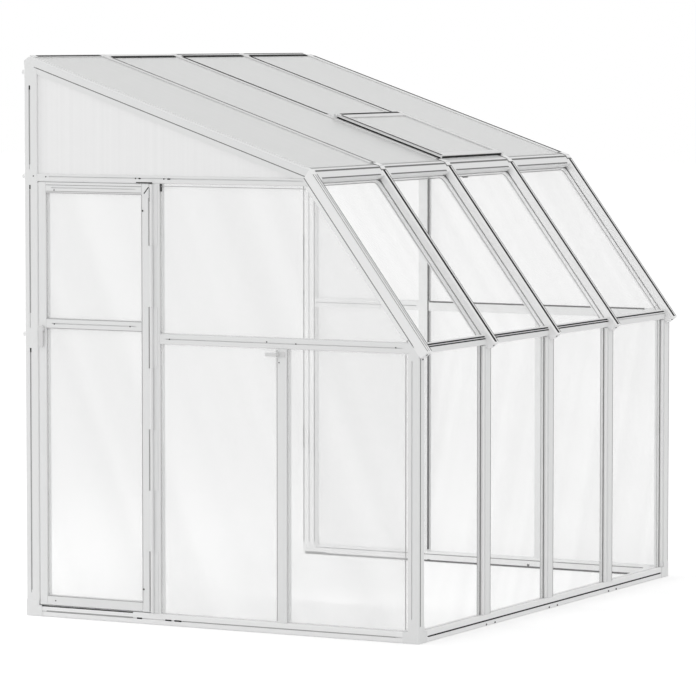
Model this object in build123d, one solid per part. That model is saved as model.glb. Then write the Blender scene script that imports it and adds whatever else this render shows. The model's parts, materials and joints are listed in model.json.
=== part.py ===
"""A white resin lean-to greenhouse: glazed bars, a hinged door and a top-hung roof vent.

X runs along the house wall, the door gable at -X. The front is at -Y, the house wall at +Y, +Z is up.
"""
import os
from math import hypot

from build123d import *

# Overall form, in mm
LENGTH = 2580.0
DEPTH = 1938.0
WALL_TOP = 2461.0
EAVE_HEIGHT = 1981.0
EAVE_SETBACK = 522.0
NOSE_REACH = 40.0
NOSE_HEIGHT = 1228.0
BAYS = 4

# Bars
BAR_WIDTH = 48.0
BAR_DEPTH = 42.0
SPINE = 16.0
CORNER_SIZE = 50.0
WALL_POST_WIDTH = 65.0
BAR_WALL = 3.0
EDGE = 2.5
GROOVE_WIDTH = 4.0
GROOVE_DEPTH = 5.0
GROOVE_STOP = 30.0
CAP_GROOVE_SHIFT = 8.0
CAP_GROOVE_WIDTH = 9.0
ROOF_GROOVE_SET = 33.0
SLOPE_GROOVE_SET = 40.0
WALL_GROOVE_SET = 25.0
CORNER_GROOVE_SET = 32.5
TIE_GROOVE_SHIFT = 5.0
RAFTER_OVERRUN = 80.0

# Levels
BASE_HEIGHT = 49.0
BASE_GROOVE = 23.0
BELT_BOTTOM = 1220.0
BELT_HEIGHT = 45.0
TIE_DROP = 69.0
TIE_HEIGHT = 32.0

# Gable layout
JAMB_FACE = 636.0
MULLION_FACE = 1259.0

# Glazing
PANE = 3.0
SHEET = 6.0
PANE_SET = 18.0
GABLE_SET = 8.0
SLOPE_SET = 32.0
SHEET_SET = 4.0
BITE = 9.0
SLOPE_BITE = 6.0
EAVE_BITE = 5.0
EDGE_GAP = 1.0
FACE_GAP = 0.3
SHADOW_GAP = 3.0

# Long beams
BEAM_RECESS = 0.5
PLATE_WIDTH = 60.0
PLATE_LIP = 21.0
WALL_BEVEL = 24.0
EAVE_FLANGE = 45.0
EAVE_LIP = 12.0
EAVE_DROP = 50.0
EAVE_GROOVE = 9.0
# Knee rail grooves: (below the top, width, depth)
KNEE_LINES = ((10.5, 2.0, 1.5), (19.0, 4.0, 6.0))

# Feet
FOOT_ARM = 75.0
FOOT_PROUD = 3.0
FOOT_COLLAR = 24.0
FOOT_ROUND = 5.5

# Door
DOOR_SIDE_GAP = 4.0
DOOR_HINGE_GAP = 4.0
DOOR_FLOOR_GAP = 4.0
DOOR_HEAD_GAP = 3.0
DOOR_THICK = 36.0
STILE = 39.0
DOOR_TOP_RAIL = 48.0
DOOR_MID_RAIL = 44.0
DOOR_MID_RISE = 2.0
DOOR_BOTTOM_RAIL = 42.0
STOP_LAP = 10.0
STOP_GAP = 0.5
HINGE_INSET = 15.0
HINGE_PROUD = 7.5
KNUCKLE_R = 7.0
PIN_HEAD_R = 6.0
HINGE_PIN_R = 3.0
RUN_FIT = 0.05
KNUCKLES = 7
KNUCKLE_GAP = 0.5
LEAF = 2.5
LEAF_WIDTH = 26.0
HANDLE_HEIGHT = 1268.0
HANDLE_DROP = 80.0
HANDLE_WIDTH = 20.0
HANDLE_THICK = 8.0
HANDLE_STAND = 9.0
HANDLE_ROUND = 6.0
BOSS_R = 14.0
SPINDLE_R = 5.0
TONGUE = 52.0
TONGUE_WIDTH = 16.0
TONGUE_THICK = 4.0
TONGUE_GAP = 0.5
HOLDER_DROP = 24.0
HOLDER_HEIGHT = 16.0
HOLDER_REACH = 44.0
HOLDER_PROUD = 32.0
HOLDER_PLATE = 4.0
HOLDER_PLATE_WIDTH = 32.0
HOLDER_PLATE_LAP = 3.0
HOLDER_ARM = 8.0
HOLDER_ARM_SET = 6.0

# Roof vent, measured along the roof from the eave's edge
VENT_EAVE_GAP = 35.0
VENT_LENGTH = 563.0
VENT_LIFT = 4.0
VENT_THICK = 14.0
VENT_EDGE_R = 7.0
VENT_TOP_RAIL = 45.0
VENT_RAIL = 35.0
VENT_LAP = 20.0
TRIMMER_LEAD = 30.0
TRIMMER_WIDTH = 48.0
ROD_R = 3.0
EAR = 14.0
EAR_GAP = 1.0
ROD_HEAD_R = 6.0
ROD_HEAD = 3.0
STAY_INSET = 28.0
STAY_DROP = 6.0
STAY_LENGTH = 300.0
STAY_WIDTH = 18.0
STAY_THICK = 4.0
STAY_X = 333.0
STAY_PIN_R = 2.5
STAY_HOLE_R = 3.5
STAY_HEAD_R = 5.0
STAY_HOLE_STEP = 65.0
STAY_HOLES = 4
LUG = 8.0
LUG_RAISE = 1.0
BRACKET_WIDTH = 45.0
BRACKET_TAIL = 44.0
BRACKET_TOP = 12.0
BRACKET_CLEAR = 8.0

# Wall anchors and screws
ANCHOR_R = 10.0
ANCHOR_REACH = 18.0
ANCHOR_HOLE_R = 3.25
ANCHOR_RISE = 21.0
ANCHOR_DROP = 74.0
SCREW_R = 4.0
SCREW_HEIGHT = 2.0
NOSE_SCREW_SET = 19.0
RAIL_SCREW_SPREAD = 42.0
RAIL_SCREW_SHIFT = 27.0
RAIL_SCREW_RISE = 6.0
DOOR_SCREW_LOW = 98.0
DOOR_SCREW_HIGH = 116.0

# Derived lines
X_GABLE = -LENGTH / 2
Y_FRONT = -DEPTH / 2
Y_WALL = DEPTH / 2
Y_EAVE = Y_FRONT + EAVE_SETBACK
RAFTER_DEPTH = BAR_DEPTH + SPINE
BELT_TOP = BELT_BOTTOM + BELT_HEIGHT
TIE_BOTTOM = EAVE_HEIGHT - TIE_DROP
TIE_TOP = TIE_BOTTOM + TIE_HEIGHT
DOOR_MID_BOTTOM = HANDLE_HEIGHT + DOOR_MID_RISE
HOLDER_Z = BELT_BOTTOM - HOLDER_DROP
ANCHOR_LEVELS = (BELT_BOTTOM + ANCHOR_RISE, TIE_BOTTOM + ANCHOR_RISE, WALL_TOP - ANCHOR_DROP)
ROOF_LEN = hypot(DEPTH - EAVE_SETBACK, WALL_TOP - EAVE_HEIGHT)
ROOF_C = (DEPTH - EAVE_SETBACK) / ROOF_LEN
ROOF_S = (WALL_TOP - EAVE_HEIGHT) / ROOF_LEN
VENT_BOTTOM = ROOF_LEN - VENT_EAVE_GAP
VENT_AXIS = VENT_BOTTOM - VENT_LENGTH
STAY_PIVOT = VENT_BOTTOM - STAY_INSET
TRIMMER_START = VENT_AXIS - TRIMMER_LEAD
SLOPE_LEN = hypot(EAVE_SETBACK + NOSE_REACH, EAVE_HEIGHT - NOSE_HEIGHT)
SLOPE_C = (EAVE_SETBACK + NOSE_REACH) / SLOPE_LEN
SLOPE_S = (EAVE_HEIGHT - NOSE_HEIGHT) / SLOPE_LEN
VENT_BAY = BAYS // 2
PITCH = (LENGTH - BAR_WIDTH) / BAYS
RAFTER_X = [X_GABLE + BAR_WIDTH / 2 + PITCH * i for i in range(BAYS + 1)]
Y_JAMB = Y_WALL - JAMB_FACE
Y_MULLION = Y_WALL - MULLION_FACE
Y_POST = Y_WALL - WALL_POST_WIDTH
Y_CORNER = Y_FRONT + CORNER_SIZE
X_CORNER = X_GABLE + CORNER_SIZE
X_INNER = X_GABLE + BAR_DEPTH


def on_roof(down, out):
    """Point (y, z) at a distance down the roof from the wall, and out from the rafter tops."""
    return Y_WALL - ROOF_C * down - ROOF_S * out, WALL_TOP - ROOF_S * down + ROOF_C * out


def on_slope(down, out):
    """Point (y, z) at a distance down the slope from the eave, and out from the rafter faces."""
    return Y_EAVE - SLOPE_C * down - SLOPE_S * out, EAVE_HEIGHT - SLOPE_S * down + SLOPE_C * out


def slope_inner_y(z, out):
    """The y at which a line parallel to the slope reaches a height."""
    y, foot = on_slope(0, out)
    return y + (z - foot) * SLOPE_C / SLOPE_S


def roof_inner_z(y, out):
    """The height at which a line parallel to the roof reaches a y."""
    foot, z = on_roof(0, out)
    return z + (y - foot) * ROOF_S / ROOF_C


def eave_corner(out):
    """Where lines parallel to the roof and to the slope cross, at one distance out from both."""
    y, z = Y_EAVE, EAVE_HEIGHT
    share = out / (1 + ROOF_C * SLOPE_C + ROOF_S * SLOPE_S)
    return y - (ROOF_S + SLOPE_S) * share, z + (ROOF_C + SLOPE_C) * share


FRONT = Plane(origin=(0, Y_FRONT, 0), x_dir=(1, 0, 0), z_dir=(0, -1, 0))
GABLE = Plane(origin=(X_GABLE, 0, 0), x_dir=(0, -1, 0), z_dir=(-1, 0, 0))
ROOF = Plane(origin=(0, Y_WALL, WALL_TOP), x_dir=(1, 0, 0), z_dir=(0, -ROOF_S, ROOF_C))
SLOPE = Plane(origin=(0, Y_EAVE, EAVE_HEIGHT), x_dir=(1, 0, 0), z_dir=(0, -SLOPE_S, SLOPE_C))
MITRE_DIR = (0, ROOF_C + SLOPE_C, ROOF_S + SLOPE_S)
MITRE = Plane(origin=(0, Y_EAVE, EAVE_HEIGHT), x_dir=(1, 0, 0), z_dir=MITRE_DIR)
UP = (0, 0, 1)


def box(x0, x1, y0, y1, z0, z1):
    """Box between two corners."""
    size = Box(abs(x1 - x0), abs(y1 - y0), abs(z1 - z0))
    return Pos((x0 + x1) / 2, (y0 + y1) / 2, (z0 + z1) / 2) * size


def rod(start, end, radius):
    """Round bar between two points."""
    axis = Vector(*end) - Vector(*start)
    return extrude(Plane(origin=start, z_dir=axis) * Circle(radius), amount=axis.length)


def prism(points, x0, x1):
    """Prism along X over an outline in (y, z)."""
    face = make_face(Polyline([(x0, y, z) for y, z in points], close=True))
    return extrude(face, amount=x1 - x0, dir=(1, 0, 0))


def local_box(plane, x0, x1, y0, y1, z0, z1):
    """Box given in a plane's own directions."""
    return plane.location * box(x0, x1, y0, y1, z0, z1)


def bar(start, along, out, length, width=BAR_WIDTH, cavity=None, grooves=(), groove_width=GROOVE_WIDTH):
    """Straight hollow bar. It starts on the middle of its outer face, whose two long edges are eased.

    cavity is (low, high, outer, inner, from, to): its sides across, its depths and its ends.
    grooves are (middle, depth, from, to) on the outer face.
    """
    plane = Plane(origin=start, x_dir=Vector(*out).cross(Vector(*along)), z_dir=along)
    half = width / 2
    outline = [(-half, -BAR_DEPTH), (half, -BAR_DEPTH), (half, -EDGE)]
    outline += [(half - EDGE, 0), (-half + EDGE, 0), (-half, -EDGE)]
    solid = extrude(plane * make_face(Polyline(outline, close=True)), amount=length, dir=along)
    if cavity:
        low, high, outer, inner, first, last = cavity
        solid -= local_box(plane, low, high, -inner, -outer, first, last)
    for middle, depth, first, last in grooves:
        low, high = middle - groove_width / 2, middle + groove_width / 2
        solid -= local_box(plane, low, high, -depth, 1, first, last)
    return solid


def sheet(plane, points, top, thick, grow=0.0, gap=0.0):
    """Flat sheet whose top lies below a plane. gap thickens it on the outer side, grow widens it."""
    face = make_face(Polyline(points, close=True))
    if grow:
        face = offset(face, amount=grow, kind=Kind.INTERSECTION)
    lifted = plane.offset(gap - top)
    return extrude(lifted * face, amount=thick + gap, dir=-plane.z_dir)


def gable_points(points):
    """Outline in (y, z) turned to the directions of the door gable's plane."""
    return [(-y, z) for y, z in points]


def rectangle(x0, x1, y0, y1):
    """Outline of a rectangle."""
    return [(x0, y0), (x1, y0), (x1, y1), (x0, y1)]


def mirrored(solids):
    """The same solids on the far gable."""
    return [mirror(solid, about=Plane.YZ) for solid in solids]


def cut(solid, tools):
    """Solid less each tool."""
    for tool in tools:
        solid = solid - tool
    return solid


# Panel outlines. Each panel goes a bite into the bars around it.
BAY_SIDES = []
for bay in range(BAYS):
    left = RAFTER_X[bay] + BAR_WIDTH / 2
    right = RAFTER_X[bay + 1] - BAR_WIDTH / 2
    BAY_SIDES.append((left, right))

KNEE_DOWN = (Y_EAVE - Y_FRONT) * SLOPE_C + (EAVE_HEIGHT - BELT_TOP) * SLOPE_S
VENT_UNDER = TRIMMER_START + TRIMMER_WIDTH


def front_outline(bay):
    """Front pane between two posts, base rail and knee rail."""
    left, right = BAY_SIDES[bay]
    if bay == 0:
        left = X_CORNER
    if bay == BAYS - 1:
        right = -X_CORNER
    return rectangle(left - BITE, right + BITE, BASE_HEIGHT - BITE, BELT_BOTTOM + BITE)


def slope_outline(bay):
    """Slope pane between two rafters, knee rail and eave beam."""
    left, right = BAY_SIDES[bay]
    return rectangle(left - BITE, right + BITE, -KNEE_DOWN - SLOPE_BITE, -EAVE_DROP + BITE)


def roof_outline(bay):
    """Roof sheet between two rafters, the wall plate and the eave beam or the vent's trimmer."""
    left, right = BAY_SIDES[bay]
    low = TRIMMER_START + BITE if bay == VENT_BAY else ROOF_LEN - EAVE_LIP + EAVE_BITE
    return rectangle(left - BITE, right + BITE, -low, -PLATE_LIP + BITE)


def gable_top_outline():
    """Sheet over the eave tie, under the gable rafter."""
    tip = eave_corner(-RAFTER_DEPTH)[0] + BITE
    back = Y_POST + BITE
    low = TIE_TOP - BITE
    set_in = -RAFTER_DEPTH + BITE
    points = [(back, low), (back, roof_inner_z(back, set_in))]
    points += [(tip, roof_inner_z(tip, set_in)), (tip, low)]
    return gable_points(points)


def gable_upper_outline():
    """Pane from the jamb to the slope rafter, over the mid rail."""
    back = Y_JAMB - BAR_WIDTH + BITE
    low = BELT_TOP - BITE
    high = TIE_BOTTOM + BITE
    front = Y_CORNER - BITE
    set_in = -RAFTER_DEPTH + BITE
    foot = slope_inner_y(low, set_in)
    points = [(back, low), (max(foot, front), low)]
    if foot < front:
        points.append((front, low + (front - foot) * SLOPE_S / SLOPE_C))
    points += [(slope_inner_y(high, set_in), high), (back, high)]
    return gable_points(points)


def gable_rectangle(y0, y1, z0, z1):
    """Rectangular gable pane, a bite larger than its opening."""
    return gable_points(rectangle(y0 - BITE, y1 + BITE, z0 - BITE, z1 + BITE))


LOWER = (BASE_HEIGHT, BELT_BOTTOM)
GABLE_BOTH = [
    gable_upper_outline(),
    gable_rectangle(Y_MULLION, Y_JAMB - BAR_WIDTH, *LOWER),
    gable_rectangle(Y_CORNER, Y_MULLION - BAR_WIDTH, *LOWER),
]
GABLE_FAR = [
    gable_rectangle(Y_JAMB, Y_POST, *LOWER),
    gable_rectangle(Y_JAMB, Y_POST, BELT_TOP, TIE_BOTTOM),
]

front_panes = [sheet(FRONT, front_outline(bay), PANE_SET, PANE) for bay in range(BAYS)]
OUTER_GAPS = (EDGE_GAP, SHADOW_GAP)
front_slots = [sheet(FRONT, front_outline(bay), PANE_SET, PANE, *OUTER_GAPS) for bay in range(BAYS)]
slope_panes = [sheet(SLOPE, slope_outline(bay), SLOPE_SET, PANE) for bay in range(BAYS)]
slope_slots = [sheet(SLOPE, slope_outline(bay), SLOPE_SET, PANE, *OUTER_GAPS) for bay in range(BAYS)]
roof_sheets = [sheet(ROOF, roof_outline(bay), SHEET_SET, SHEET) for bay in range(BAYS)]
roof_slots = [sheet(ROOF, roof_outline(bay), SHEET_SET, SHEET, EDGE_GAP, FACE_GAP) for bay in range(BAYS)]
gable_sheet = sheet(GABLE, gable_top_outline(), GABLE_SET, SHEET)
gable_sheet_slot = sheet(GABLE, gable_top_outline(), GABLE_SET, SHEET, EDGE_GAP, FACE_GAP)
gable_panes = [sheet(GABLE, outline, GABLE_SET, PANE) for outline in GABLE_BOTH]
gable_slots = [sheet(GABLE, outline, GABLE_SET, PANE, EDGE_GAP, FACE_GAP) for outline in GABLE_BOTH]
bay_panes = [sheet(GABLE, outline, GABLE_SET, PANE) for outline in GABLE_FAR]
bay_slots = [sheet(GABLE, outline, GABLE_SET, PANE, EDGE_GAP, FACE_GAP) for outline in GABLE_FAR]
door_gable_slots = gable_slots + [gable_sheet_slot]
far_gable_slots = door_gable_slots + bay_slots

nodes = {}

# Base rails and moulded feet
SOLE = BAR_WALL + GROOVE_DEPTH
RIB = BITE + EDGE_GAP + BAR_WALL


def base_rail(start, along, out, length):
    """Base rail with one long groove, hollow from end to end."""
    middle = BASE_HEIGHT / 2
    upward = Vector(*out).cross(Vector(*along)).Z
    groove = (BASE_GROOVE - middle) * upward
    low, high = sorted((upward * (BAR_WALL - middle), upward * (middle - RIB)))
    cavity = (low, high, SOLE, BAR_DEPTH - BAR_WALL, 0, length)
    return bar(start, along, out, length, BASE_HEIGHT, cavity, [(groove, GROOVE_DEPTH, 0, length)])


foot_x = X_GABLE + FOOT_ARM
foot_y = Y_FRONT + FOOT_ARM
wall_foot_y = Y_WALL - FOOT_ARM - DOOR_SIDE_GAP
mid_z = BASE_HEIGHT / 2
rail = base_rail((foot_x, Y_FRONT, mid_z), (1, 0, 0), (0, -1, 0), -2 * foot_x)
nodes["base_rail_front"] = [cut(rail, front_slots)]
rail = base_rail((X_GABLE, foot_y, mid_z), (0, 1, 0), (-1, 0, 0), wall_foot_y - foot_y)
nodes["base_rail_door_side"] = [cut(rail, door_gable_slots)]
nodes["base_rail_far_side"] = mirrored([cut(rail, far_gable_slots)])


def corner_foot():
    """Moulded corner: two arms for the rails and a collar round the corner post's outer faces."""
    out_x, out_y = X_GABLE - FOOT_PROUD, Y_FRONT - FOOT_PROUD
    collar = BASE_HEIGHT + FOOT_COLLAR
    solid = box(out_x, foot_x, out_y, Y_FRONT + BAR_DEPTH, 0, BASE_HEIGHT)
    solid += box(out_x, X_INNER, out_y, foot_y, 0, BASE_HEIGHT)
    solid += box(X_GABLE, X_CORNER, Y_FRONT, Y_CORNER, 0, BASE_HEIGHT)
    solid += box(out_x, X_GABLE, out_y, Y_CORNER, 0, collar)
    solid += box(out_x, X_CORNER, out_y, Y_FRONT, 0, collar)
    corner = solid.edges().filter_by(Axis.Z).sort_by_distance((out_x, out_y, mid_z))[0]
    return fillet(corner, FOOT_ROUND)


def wall_foot():
    """Moulded foot at the wall: one arm for the rail and a collar on the wall post's outer face."""
    out_x = X_GABLE - FOOT_PROUD
    solid = box(out_x, X_INNER, wall_foot_y, Y_WALL, 0, BASE_HEIGHT)
    return solid + box(out_x, X_GABLE, Y_POST, Y_WALL, 0, BASE_HEIGHT + FOOT_COLLAR)


foot = corner_foot()
nodes["corner_feet"] = [cut(foot, front_slots[:1] + gable_slots)]
nodes["corner_feet"] += mirrored([cut(foot, front_slots[:1] + gable_slots)])
foot = wall_foot()
nodes["wall_feet"] = [foot] + mirrored([cut(foot, bay_slots)])

# Posts, whose tops are cut to the undersides of the rafters
post_len = WALL_TOP - BASE_HEIGHT
ROOF_UNDER = ROOF.offset(-BAR_DEPTH)
SLOPE_UNDER = SLOPE.offset(-BAR_DEPTH)
door_stop = X_GABLE + DOOR_THICK + STOP_GAP


def post_under(solid, plane):
    """The part of a post under the rafters."""
    return split(solid, bisect_by=plane, keep=Keep.BOTTOM)


def wall_post():
    """Post at the wall. Its groove breaks at the anchor levels."""
    half = WALL_POST_WIDTH / 2
    cavity = (-half + RIB, half - BAR_WALL, SOLE, BAR_DEPTH - BAR_WALL, 0, post_len - 2 * RIB)
    stops = [BASE_HEIGHT + FOOT_COLLAR] + list(ANCHOR_LEVELS)
    grooves = []
    for low, high in zip(stops, stops[1:]):
        first = low - BASE_HEIGHT + GROOVE_STOP
        last = high - BASE_HEIGHT - 2 * GROOVE_STOP
        grooves.append((half - WALL_GROOVE_SET, GROOVE_DEPTH, first, last))
    start = (X_GABLE, Y_WALL - half, BASE_HEIGHT)
    return post_under(bar(start, UP, (-1, 0, 0), post_len, WALL_POST_WIDTH, cavity, grooves), ROOF_UNDER)


def anchor_hole(level):
    """Screw hole through a wall post, along Y."""
    x = X_GABLE + BAR_DEPTH / 2
    return rod((x, Y_POST - 1, level), (x, Y_WALL + ANCHOR_REACH + 1, level), ANCHOR_HOLE_R)


anchor_holes = [anchor_hole(level) for level in ANCHOR_LEVELS]
post = cut(wall_post(), anchor_holes)
lip = box(door_stop, X_INNER, Y_POST - DOOR_SIDE_GAP - STOP_LAP, Y_POST, BASE_HEIGHT, TIE_BOTTOM)
nodes["wall_post_door_side"] = [cut(cut(post, door_gable_slots) + lip, anchor_holes)]
nodes["wall_post_far_side"] = mirrored([cut(post, far_gable_slots)])


def corner_post():
    """Square post under the gable slope rafter, grooved on its gable face."""
    length = BELT_TOP + BAR_DEPTH - BASE_HEIGHT
    solid = box(X_GABLE, X_CORNER, Y_FRONT, Y_CORNER, BASE_HEIGHT, BASE_HEIGHT + length)
    solid = chamfer(solid.edges().filter_by(Axis.Z).sort_by_distance((X_GABLE, Y_FRONT, 600))[0], EDGE)
    inside_y = (Y_FRONT + BAR_WALL, Y_CORNER - RIB)
    solid -= box(X_GABLE + SOLE, X_CORNER - RIB, *inside_y, BASE_HEIGHT, BELT_BOTTOM - RIB)
    groove_y = Y_FRONT + CORNER_GROOVE_SET
    low, high = groove_y - GROOVE_WIDTH / 2, groove_y + GROOVE_WIDTH / 2
    first = BASE_HEIGHT + FOOT_COLLAR + GROOVE_STOP
    solid -= box(X_GABLE - 1, X_GABLE + GROOVE_DEPTH, low, high, first, BELT_BOTTOM - GROOVE_STOP)
    return post_under(solid, SLOPE_UNDER)


post = cut(corner_post(), front_slots[:1] + gable_slots)
nodes["corner_post_door_side"] = [post]
nodes["corner_post_far_side"] = mirrored([post])


def upright(face, length, out, start_z, ribs):
    """Post or mullion with glazing beside it. ribs are the solid strips left beside its cavity."""
    half = BAR_WIDTH / 2
    cavity = (-half + ribs[0], half - ribs[1], SOLE, BAR_DEPTH - BAR_WALL, 0, length - RIB)
    return bar((face[0], face[1], start_z), UP, out, length, BAR_WIDTH, cavity)


nodes["front_posts"] = []
for x in RAFTER_X[1:-1]:
    length = BELT_TOP + BAR_DEPTH - BASE_HEIGHT
    half = BAR_WIDTH / 2
    cavity = (-half + RIB, half - RIB, BAR_WALL, BAR_DEPTH - BAR_WALL, 0, BELT_BOTTOM - RIB - BASE_HEIGHT)
    post = bar((x, Y_FRONT, BASE_HEIGHT), UP, (0, -1, 0), length, BAR_WIDTH, cavity)
    post = post_under(post, SLOPE_UNDER)
    nodes["front_posts"].append(cut(post, front_slots))

jamb_len = TIE_BOTTOM - BASE_HEIGHT
jamb_face = (X_GABLE, Y_JAMB - BAR_WIDTH / 2)
post = upright(jamb_face, jamb_len, (-1, 0, 0), BASE_HEIGHT, (RIB, BAR_WALL))
lip = box(door_stop, X_INNER, Y_JAMB, Y_JAMB + DOOR_HINGE_GAP + STOP_LAP, BASE_HEIGHT, TIE_BOTTOM)
nodes["door_jamb_post"] = [cut(post, gable_slots) + lip]
post = upright(jamb_face, jamb_len, (-1, 0, 0), BASE_HEIGHT, (RIB, RIB))
nodes["far_jamb_post"] = mirrored([cut(post, gable_slots + bay_slots)])

mullion_face = (X_GABLE, Y_MULLION - BAR_WIDTH / 2)
post = upright(mullion_face, BELT_BOTTOM - BASE_HEIGHT, (-1, 0, 0), BASE_HEIGHT, (RIB, RIB))
nodes["lower_mullion_door_side"] = [cut(post, gable_slots)]
nodes["lower_mullion_far_side"] = mirrored([cut(post, gable_slots)])

# Gable rails


def eave_tie():
    """Tie across the gable at eave height, cut to the slope rafter's underside."""
    front = slope_inner_y(TIE_BOTTOM, -BAR_DEPTH)
    length = Y_POST - front
    groove = (TIE_GROOVE_SHIFT, GROOVE_DEPTH, 2 * GROOVE_STOP, length - GROOVE_STOP)
    start = (X_GABLE, Y_POST, TIE_BOTTOM + TIE_HEIGHT / 2)
    solid = bar(start, (0, -1, 0), (-1, 0, 0), length, TIE_HEIGHT, None, [groove])
    return split(solid, bisect_by=SLOPE_UNDER, keep=Keep.BOTTOM)


def mid_rail(back, front):
    """Grooved rail at belt height between two gable posts."""
    half = BELT_HEIGHT / 2
    length = back - front
    cavity = (-half + RIB, half - RIB, SOLE, BAR_DEPTH - BAR_WALL, 0, length)
    groove = (0, GROOVE_DEPTH, GROOVE_STOP, length - GROOVE_STOP)
    start = (X_GABLE, back, BELT_BOTTOM + half)
    return bar(start, (0, -1, 0), (-1, 0, 0), length, BELT_HEIGHT, cavity, [groove])


tie = eave_tie()
head_stop = TIE_BOTTOM - DOOR_HEAD_GAP - STOP_LAP
head_y = (Y_JAMB + DOOR_HINGE_GAP + STOP_LAP, Y_POST - DOOR_SIDE_GAP - STOP_LAP)
head_lip = box(door_stop, X_INNER, *head_y, head_stop, TIE_BOTTOM)
nodes["eave_tie_door_side"] = [cut(tie, door_gable_slots) + head_lip]
nodes["eave_tie_far_side"] = mirrored([cut(tie, far_gable_slots)])
rail = cut(mid_rail(Y_JAMB - BAR_WIDTH, Y_CORNER), gable_slots)
nodes["mid_rail_door_side"] = [rail]
nodes["mid_rails_far_side"] = mirrored([rail, cut(mid_rail(Y_POST, Y_JAMB), bay_slots)])

# Rafters. The roof and slope rafters meet in a mitre at the eave.


def rafter_cavity(side, length, first, last):
    """Cavity of a rafter: clear of the panes beside it, and at a gable clear of the pane under it."""
    half = BAR_WIDTH / 2
    if side == 0:
        return -half + RIB, half - RIB, SOLE, BAR_DEPTH - BAR_WALL, first, last
    low, high = sorted((side * (RIB - half), side * (half - SOLE)))
    return low, high, SOLE, BAR_DEPTH - BAR_WALL, first, last


def roof_spine(x, side):
    """Inner part of a roof rafter. At a gable it stops at the wall post and the eave tie."""
    outline = [eave_corner(-BAR_DEPTH), (Y_WALL, roof_inner_z(Y_WALL, -BAR_DEPTH))]
    outline += [(Y_WALL, roof_inner_z(Y_WALL, -RAFTER_DEPTH)), eave_corner(-RAFTER_DEPTH)]
    return spine(outline, x, side)


def slope_spine(x, side):
    """Inner part of a slope rafter, from the post's inner face to the mitre."""
    post_face = (Y_CORNER if side else Y_FRONT + BAR_DEPTH) + FACE_GAP
    foot = (Y_EAVE + SLOPE_S * BAR_DEPTH - post_face) / SLOPE_C
    outline = [eave_corner(-BAR_DEPTH), eave_corner(-RAFTER_DEPTH)]
    outline += [on_slope(foot, -RAFTER_DEPTH), on_slope(foot, -BAR_DEPTH)]
    return spine(outline, x, side)


def spine(outline, x, side):
    """Prism as wide as a bar, less the gable post and tie where it meets them."""
    half = BAR_WIDTH / 2
    solid = prism(outline, x - half, x + half)
    if side:
        outer, inner = x - side * half, x - side * half + side * BAR_DEPTH
        solid -= box(outer, inner, Y_POST, Y_WALL, 0, WALL_TOP)
        solid -= box(outer, inner, Y_FRONT, Y_WALL, TIE_BOTTOM, TIE_TOP)
    return solid


def gable_groove(outline, x, side):
    """Groove on the outer side of a gable rafter."""
    outer = x - side * BAR_WIDTH / 2
    return prism(outline, *sorted((outer - side, outer + side * GROOVE_DEPTH)))


def roof_rafter(x, side):
    """Roof rafter from the mitre to the wall, its top wall corner bevelled at the gables."""
    y, z = on_roof(ROOF_LEN + RAFTER_OVERRUN, 0)
    length = ROOF_LEN + 2 * RAFTER_OVERRUN
    first, last = RAFTER_OVERRUN + GROOVE_STOP, RAFTER_OVERRUN + ROOF_LEN - GROOVE_STOP
    grooves = [(-CAP_GROOVE_SHIFT, GROOVE_DEPTH, first, last)]
    cavity = rafter_cavity(side, length, 0, length)
    along, out = (0, ROOF_C, ROOF_S), (0, -ROOF_S, ROOF_C)
    solid = bar((x, y, z), along, out, length, BAR_WIDTH, cavity, grooves, CAP_GROOVE_WIDTH)
    solid = split(solid, bisect_by=MITRE, keep=Keep.TOP)
    solid = split(solid, bisect_by=Plane(origin=(0, Y_WALL, 0), z_dir=(0, 1, 0)), keep=Keep.BOTTOM)
    if side:
        corner = [on_roof(WALL_BEVEL, 0), (Y_WALL, WALL_TOP - WALL_BEVEL), (Y_WALL, WALL_TOP + 1)]
        solid -= prism(corner, x - BAR_WIDTH, x + BAR_WIDTH)
        outer, inner = GROOVE_WIDTH / 2 - ROOF_GROOVE_SET, -GROOVE_WIDTH / 2 - ROOF_GROOVE_SET
        outline = [on_roof(WALL_POST_WIDTH, outer), eave_corner(outer)]
        outline += [eave_corner(inner), on_roof(WALL_POST_WIDTH, inner)]
        solid -= gable_groove(outline, x, side)
    return solid + roof_spine(x, side)


def slope_rafter(x, side):
    """Slope rafter from its square nose up to the mitre."""
    y, z = on_slope(SLOPE_LEN, 0)
    length = SLOPE_LEN + RAFTER_OVERRUN
    grooves = [(-CAP_GROOVE_SHIFT, GROOVE_DEPTH, GROOVE_STOP, SLOPE_LEN - GROOVE_STOP)]
    cavity = rafter_cavity(side, length, BAR_WALL * 2, length)
    along, out = (0, SLOPE_C, SLOPE_S), (0, -SLOPE_S, SLOPE_C)
    solid = bar((x, y, z), along, out, length, BAR_WIDTH, cavity, grooves, CAP_GROOVE_WIDTH)
    solid = split(solid, bisect_by=MITRE, keep=Keep.BOTTOM)
    if side:
        outer, inner = GROOVE_WIDTH / 2 - SLOPE_GROOVE_SET, -GROOVE_WIDTH / 2 - SLOPE_GROOVE_SET
        outline = [eave_corner(outer), on_slope(KNEE_DOWN, outer)]
        outline += [on_slope(KNEE_DOWN, inner), eave_corner(inner)]
        solid -= gable_groove(outline, x, side)
    return solid + slope_spine(x, side)


far_top_slots = mirrored(door_gable_slots)
for i, x in enumerate(RAFTER_X):
    side = 1 if i == 0 else -1 if i == BAYS else 0
    ends = door_gable_slots if i == 0 else far_top_slots if i == BAYS else []
    beside = roof_slots[max(i - 1, 0):i + 1]
    nodes[f"roof_rafter_{i + 1}"] = [cut(roof_rafter(x, side), beside + ends)]
    beside = slope_slots[max(i - 1, 0):i + 1]
    nodes[f"slope_rafter_{i + 1}"] = [cut(slope_rafter(x, side), beside + ends)]

# Knee rails, eave beams and wall plates, one length in each bay


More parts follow.
